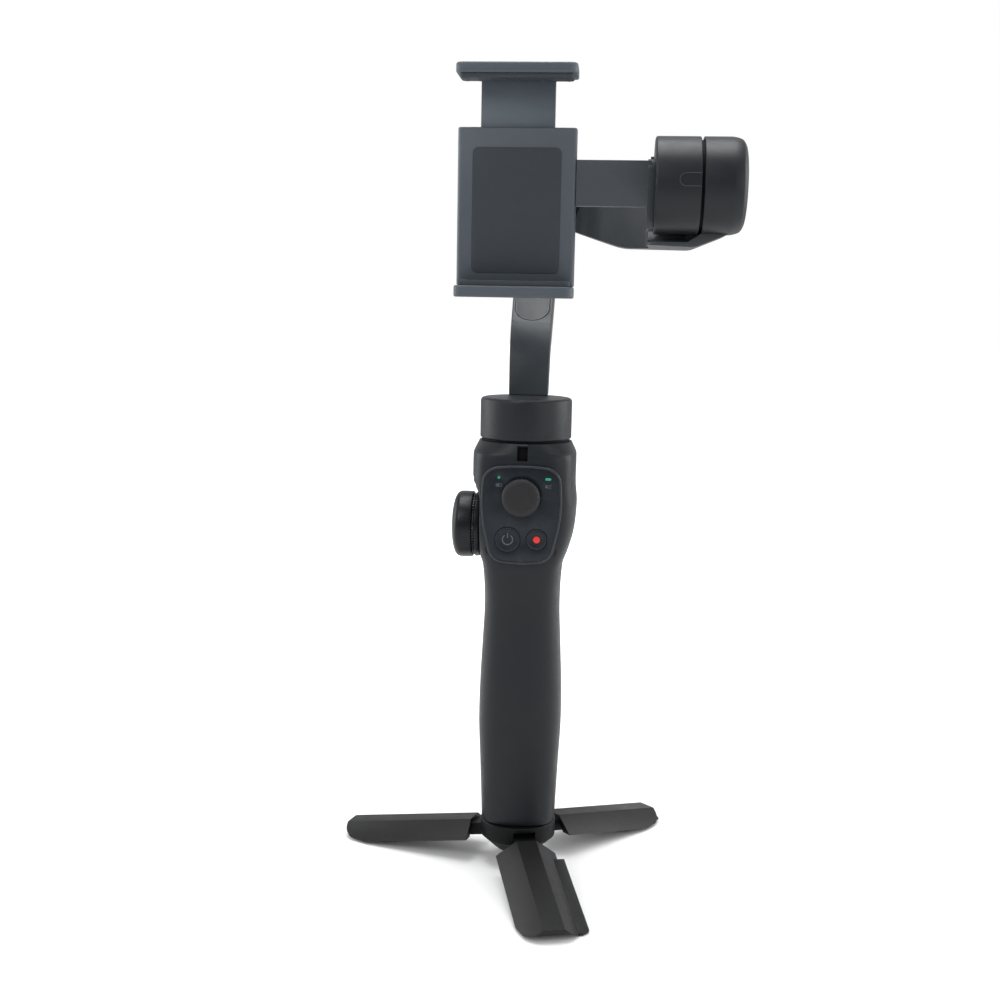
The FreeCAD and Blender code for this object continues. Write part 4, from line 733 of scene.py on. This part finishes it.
# ---- Arms ----
def cover_highlight_line():
    """Painted highlight: a fine pale line round the cover that is let into the upright arm, where its edge
    catches the light.
    """
    high, rounding = COVER_LENGTH + COVER_R, COVER_R - 0.15
    line = ring_face([(-COVER_R, -COVER_R, rounding), (COVER_R, -COVER_R, rounding),
                      (COVER_R, high, rounding), (-COVER_R, high, rounding)], 0.3)
    raise_faces(line, 0.06)
    facing_front(line)
    bmesh.ops.transform(line, matrix=Matrix.Rotation(-ARM_LEAN, 4, "X"), verts=line.verts)
    bmesh.ops.translate(line, vec=COVER_PLACE, verts=line.verts)
    piece("cover_highlight_line", line, OUTLINE_AND_HIGHLIGHT_GREY, "upright", "arms")


def arms():
    softened_copy("upright_arm", ARM_SHELL, "upright", "arms", 1.2)
    softened_copy("upright_arm_cover", ARM_SHELL, "upright", "arms", 0.25)
    softened_copy("roll_arm", ARM_SHELL, "swing", "arms", 1.0)
    cover_highlight_line()


# ---- Phone clamp ----
LOW_JAW_Z, TOP_JAW_Z = (215.3, 219.4), (292.1, 295.7)
LOW_PAD_Z, TOP_PAD_Z = (219.3, 221.3), (290.5, 292.2)
RIB_COUNT, RIB_FIRST_X, RIB_PITCH, RIB_HALF = 9, -22.5, 4.45, (0.5, 0.25)


def jaw_plate(low, high, edge):
    (left, right), (front, back) = JAW_X, JAW_Y
    corners = [(left, front, 3), (right, front, 3), (right, back, 1), (left, back, 1)]
    return plate(corners, low, high, edge=edge, segments=4)


def pad(low, high, rib_z):
    """Rubber pad with fine ribs across it."""
    bm = plate(box_corners(-4.7, -12.85, 19.8, 4.65, 1.5), low, high, edge=0.35)
    half_x, half_z = RIB_HALF
    for i in range(RIB_COUNT):
        x = RIB_FIRST_X + RIB_PITCH * i
        join(bm, rounded_box((x - half_x, -16.8, rib_z - half_z), (x + half_x, -8.9, rib_z + half_z), 0.2, 2))
    return bm


def clamp():
    piece("jaw_low", jaw_plate(*LOW_JAW_Z, 0.7), JAW_SHELL, "clamp", "jaws", "lower_jaw")
    slider = rounded_box((-17.9, -6.0, 241), (8.5, -3.5, 292.6), 0.3)
    piece("jaw_top", join(jaw_plate(*TOP_JAW_Z, 0.7), slider), JAW_SHELL, "jaw", "jaws", "upper_jaw")
    piece("pad_low", pad(*LOW_PAD_Z, 221.2), PAD_RUBBER, "clamp", "jaw_pads", "lower_jaw_pad")
    piece("pad_top", pad(*TOP_PAD_Z, 290.6), PAD_RUBBER, "jaw", "jaw_pads", "upper_jaw_pad")
    softened_copy("clamp_back", JAW_SHELL, "clamp", "jaws", 0.6)
    sheet = plate(box_corners(-4.7, 246, 15.8, 22, 2), 7.9, 8.25, edge=0.15)
    piece("clamp_grip_sheet", facing_front(sheet), PAD_RUBBER, "clamp", "jaw_pads")
    softened_copy("clamp_bracket", ARM_SHELL, "clamp", "arms", 0.7)


# ---- Mini tripod ----
def tripod():
    softened_copy("tripod_hub", HUB_SHELL, "handle", "tripod_plastic", 0.35)
    for name in ("front", "right", "left"):
        leg = softened_copy(f"leg_{name}", TRIPOD_SHELL, f"leg_{name}", "tripod_plastic", 0.45)
        leg.data.materials.append(HUB_SHELL)
        # Small faces by the hub take the hub's black: partly the knuckles' own black plastic, partly painted
        # shade at the leg roots.
        for face in leg.data.polygons:
            near_hub = math.hypot(face.center.x, face.center.y) < KNUCKLE_REACH * MM
            face.material_index = 1 if near_hub and face.area < KNUCKLE_AREA * MM * MM else 0
        softened_copy(f"foot_pad_{name}", FOOT_RUBBER, f"leg_{name}", "feet", 0.3)


def hidden_pieces():
    repaint(DARK_STEEL, "shell_screws", "leg_pins")
    repaint(STEEL, "charging_socket", "pan_bearings", "roll_bearings", "tilt_bearings", "pan_shaft",
            "roll_shaft", "tilt_shaft", "tripod_stud", "clamp_guide_rods", "clamp_springs", "joystick_ring")
    repaint(MAGNET, "pan_magnet_ring", "roll_magnet_ring", "tilt_magnet_ring")
    repaint(COPPER, "pan_stator", "roll_stator", "tilt_stator")
    repaint(MOTOR_SHELL, "pan_bearing_post", "roll_bearing_post", "tilt_bearing_post")
    repaint(BRASS, "tripod_socket")
    repaint(BOARD, "main_circuit_board")
    repaint(BLACK_PLASTIC, "key_switches", "joystick_module", "wheel_encoder", "battery_cradle")
    repaint(CELL_SLEEVE, "battery_cell")


# ---- Studio ----
# Lamps: name, place and size in metres, power in watts.
LAMPS = (("key", (-0.45, -0.80, 0.80), 0.45, 2.6), ("fill", (0.70, -0.60, 0.35), 0.5, 0.8),
         ("left_edge", (-0.85, 0.20, 0.30), 0.6, 2.6), ("right_edge", (0.80, 0.22, 0.35), 0.6, 3.0),
         ("top", (0, 0.1, 1.1), 0.7, 9.0))
LAMP_AIM = Vector((0, 0, 0.15))
FLOOR_HALF, FLOOR_DROP = 6, 0.0002
# Each fade runs from, to, lowest and highest.
FLOOR_FADE, ROOM_LEVELS = (0.10, 0.60, 0.36, 1.0), (0.15, 0.95, 0.16, 0.75)
ROOM_TINT, ROOM_BEHIND = (0.97, 0.98, 1.0, 1), 0.85
CAMERA_PLACE, CAMERA_LENS = (0.0300, -0.4978, 0.2148), 48.55
CAMERA_HEADING, CAMERA_DOWN, CAMERA_ROLL = 4.5, 8.48, 1.03


def studio():
    bm = bmesh.new()
    bmesh.ops.create_grid(bm, x_segments=1, y_segments=1, size=FLOOR_HALF)
    bmesh.ops.translate(bm, vec=(0, 0, -FLOOR_DROP), verts=bm.verts)
    mesh = bpy.data.meshes.new("floor")
    bm.to_mesh(mesh)
    bm.free()
    floor = bpy.data.objects.new("floor", mesh)
    bpy.context.collection.objects.link(floor)
    paper = finish_material("floor_white", (0.80, 0.80, 0.80), 0.7, (300, 0.01), cloud=0.004,
                            edge_rub_and_highlight=0, shine=0.1)
    white_floor_with_painted_shadow(paper)
    mesh.materials.append(paper)
    sky()
    for name, place, size, power in LAMPS:
        lamp = bpy.data.lights.new(name, "AREA")
        lamp.size = size
        lamp.energy = power
        lamp_object = bpy.data.objects.new(name, lamp)
        bpy.context.collection.objects.link(lamp_object)
        lamp_object.location = place
        lamp_object.rotation_euler = (LAMP_AIM - Vector(place)).to_track_quat("-Z", "Y").to_euler()


def white_floor_with_painted_shadow(paper):
    """Lets the floor run out to white, and paints a soft shadow under and between the legs where ambient
    occlusion finds the object near.
    """
    tree = paper.node_tree
    link = tree.links.new
    shader = tree.nodes["Principled BSDF"]
    shader.inputs["Emission Color"].default_value = (1, 1, 1, 1)
    reach = node(tree, "ShaderNodeVectorMath", operation="LENGTH")
    link(node(tree, "ShaderNodeTexCoord").outputs["Object"], reach.inputs[0])
    open_floor = set_range(node(tree, "ShaderNodeMapRange", interpolation_type="SMOOTHSTEP"),
                           *FLOOR_FADE)
    link(reach.outputs["Value"], open_floor.inputs["Value"])
    # Ambient occlusion dims the floor's glow near the object: a painted shadow.
    shade = node(tree, "ShaderNodeAmbientOcclusion", Distance=0.07)
    seen = node(tree, "ShaderNodeMath", operation="MULTIPLY")
    link(open_floor.outputs["Result"], seen.inputs[0])
    link(shade.outputs["AO"], seen.inputs[1])
    glow = node(tree, "ShaderNodeMath", operation="MULTIPLY")
    link(seen.outputs["Value"], glow.inputs[0])
    link(node(tree, "ShaderNodeLightPath").outputs["Is Camera Ray"], glow.inputs[1])
    link(glow.outputs["Value"], shader.inputs["Emission Strength"])


def sky():
    """White backdrop for the eye, and a dimmer room that is brighter at the sides and overhead."""
    world = bpy.data.worlds.new("studio")
    bpy.context.scene.world = world
    world.use_nodes = True
    tree = world.node_tree
    link = tree.links.new
    room = tree.nodes["Background"]
    paper = node(tree, "ShaderNodeBackground", Color=(1, 1, 1, 1), Strength=1.0)
    way = node(tree, "ShaderNodeSeparateXYZ")
    link(node(tree, "ShaderNodeTexCoord").outputs["Generated"], way.inputs["Vector"])
    across = node(tree, "ShaderNodeMath", operation="ABSOLUTE")
    link(way.outputs["X"], across.inputs[0])
    behind = node(tree, "ShaderNodeMath", operation="MULTIPLY")
    behind.inputs[1].default_value = ROOM_BEHIND
    link(way.outputs["Y"], behind.inputs[0])
    side = node(tree, "ShaderNodeMath", operation="MAXIMUM")
    link(across.outputs["Value"], side.inputs[0])
    link(behind.outputs["Value"], side.inputs[1])
    level = set_range(node(tree, "ShaderNodeMapRange"), *ROOM_LEVELS)
    link(side.outputs["Value"], level.inputs["Value"])
    link(level.outputs["Result"], room.inputs["Strength"])
    room.inputs["Color"].default_value = ROOM_TINT
    pick = node(tree, "ShaderNodeMixShader")
    link(node(tree, "ShaderNodeLightPath").outputs["Is Camera Ray"], pick.inputs["Fac"])
    link(room.outputs["Background"], pick.inputs[1])
    link(paper.outputs["Background"], pick.inputs[2])
    link(pick.outputs["Shader"], tree.nodes["World Output"].inputs["Surface"])


def camera():
    data = bpy.data.cameras.new("camera")
    data.sensor_width = 36.0
    data.lens = CAMERA_LENS
    made = bpy.data.objects.new("camera", data)
    bpy.context.collection.objects.link(made)
    heading = Matrix.Rotation(math.radians(CAMERA_HEADING), 4, "Z")
    down = Matrix.Rotation(math.radians(90 - CAMERA_DOWN), 4, "X")
    roll = Matrix.Rotation(math.radians(CAMERA_ROLL), 4, "Z")
    made.matrix_world = Matrix.Translation(CAMERA_PLACE) @ heading @ down @ roll
    bpy.context.scene.camera = made


handle()
control_panel()
joystick()
keys()
zoom_wheel()
motors()
tilt_marker()
arms()
clamp()
tripod()
hidden_pieces()
studio()
camera()
bpy.context.scene.view_settings.view_transform = "Standard"
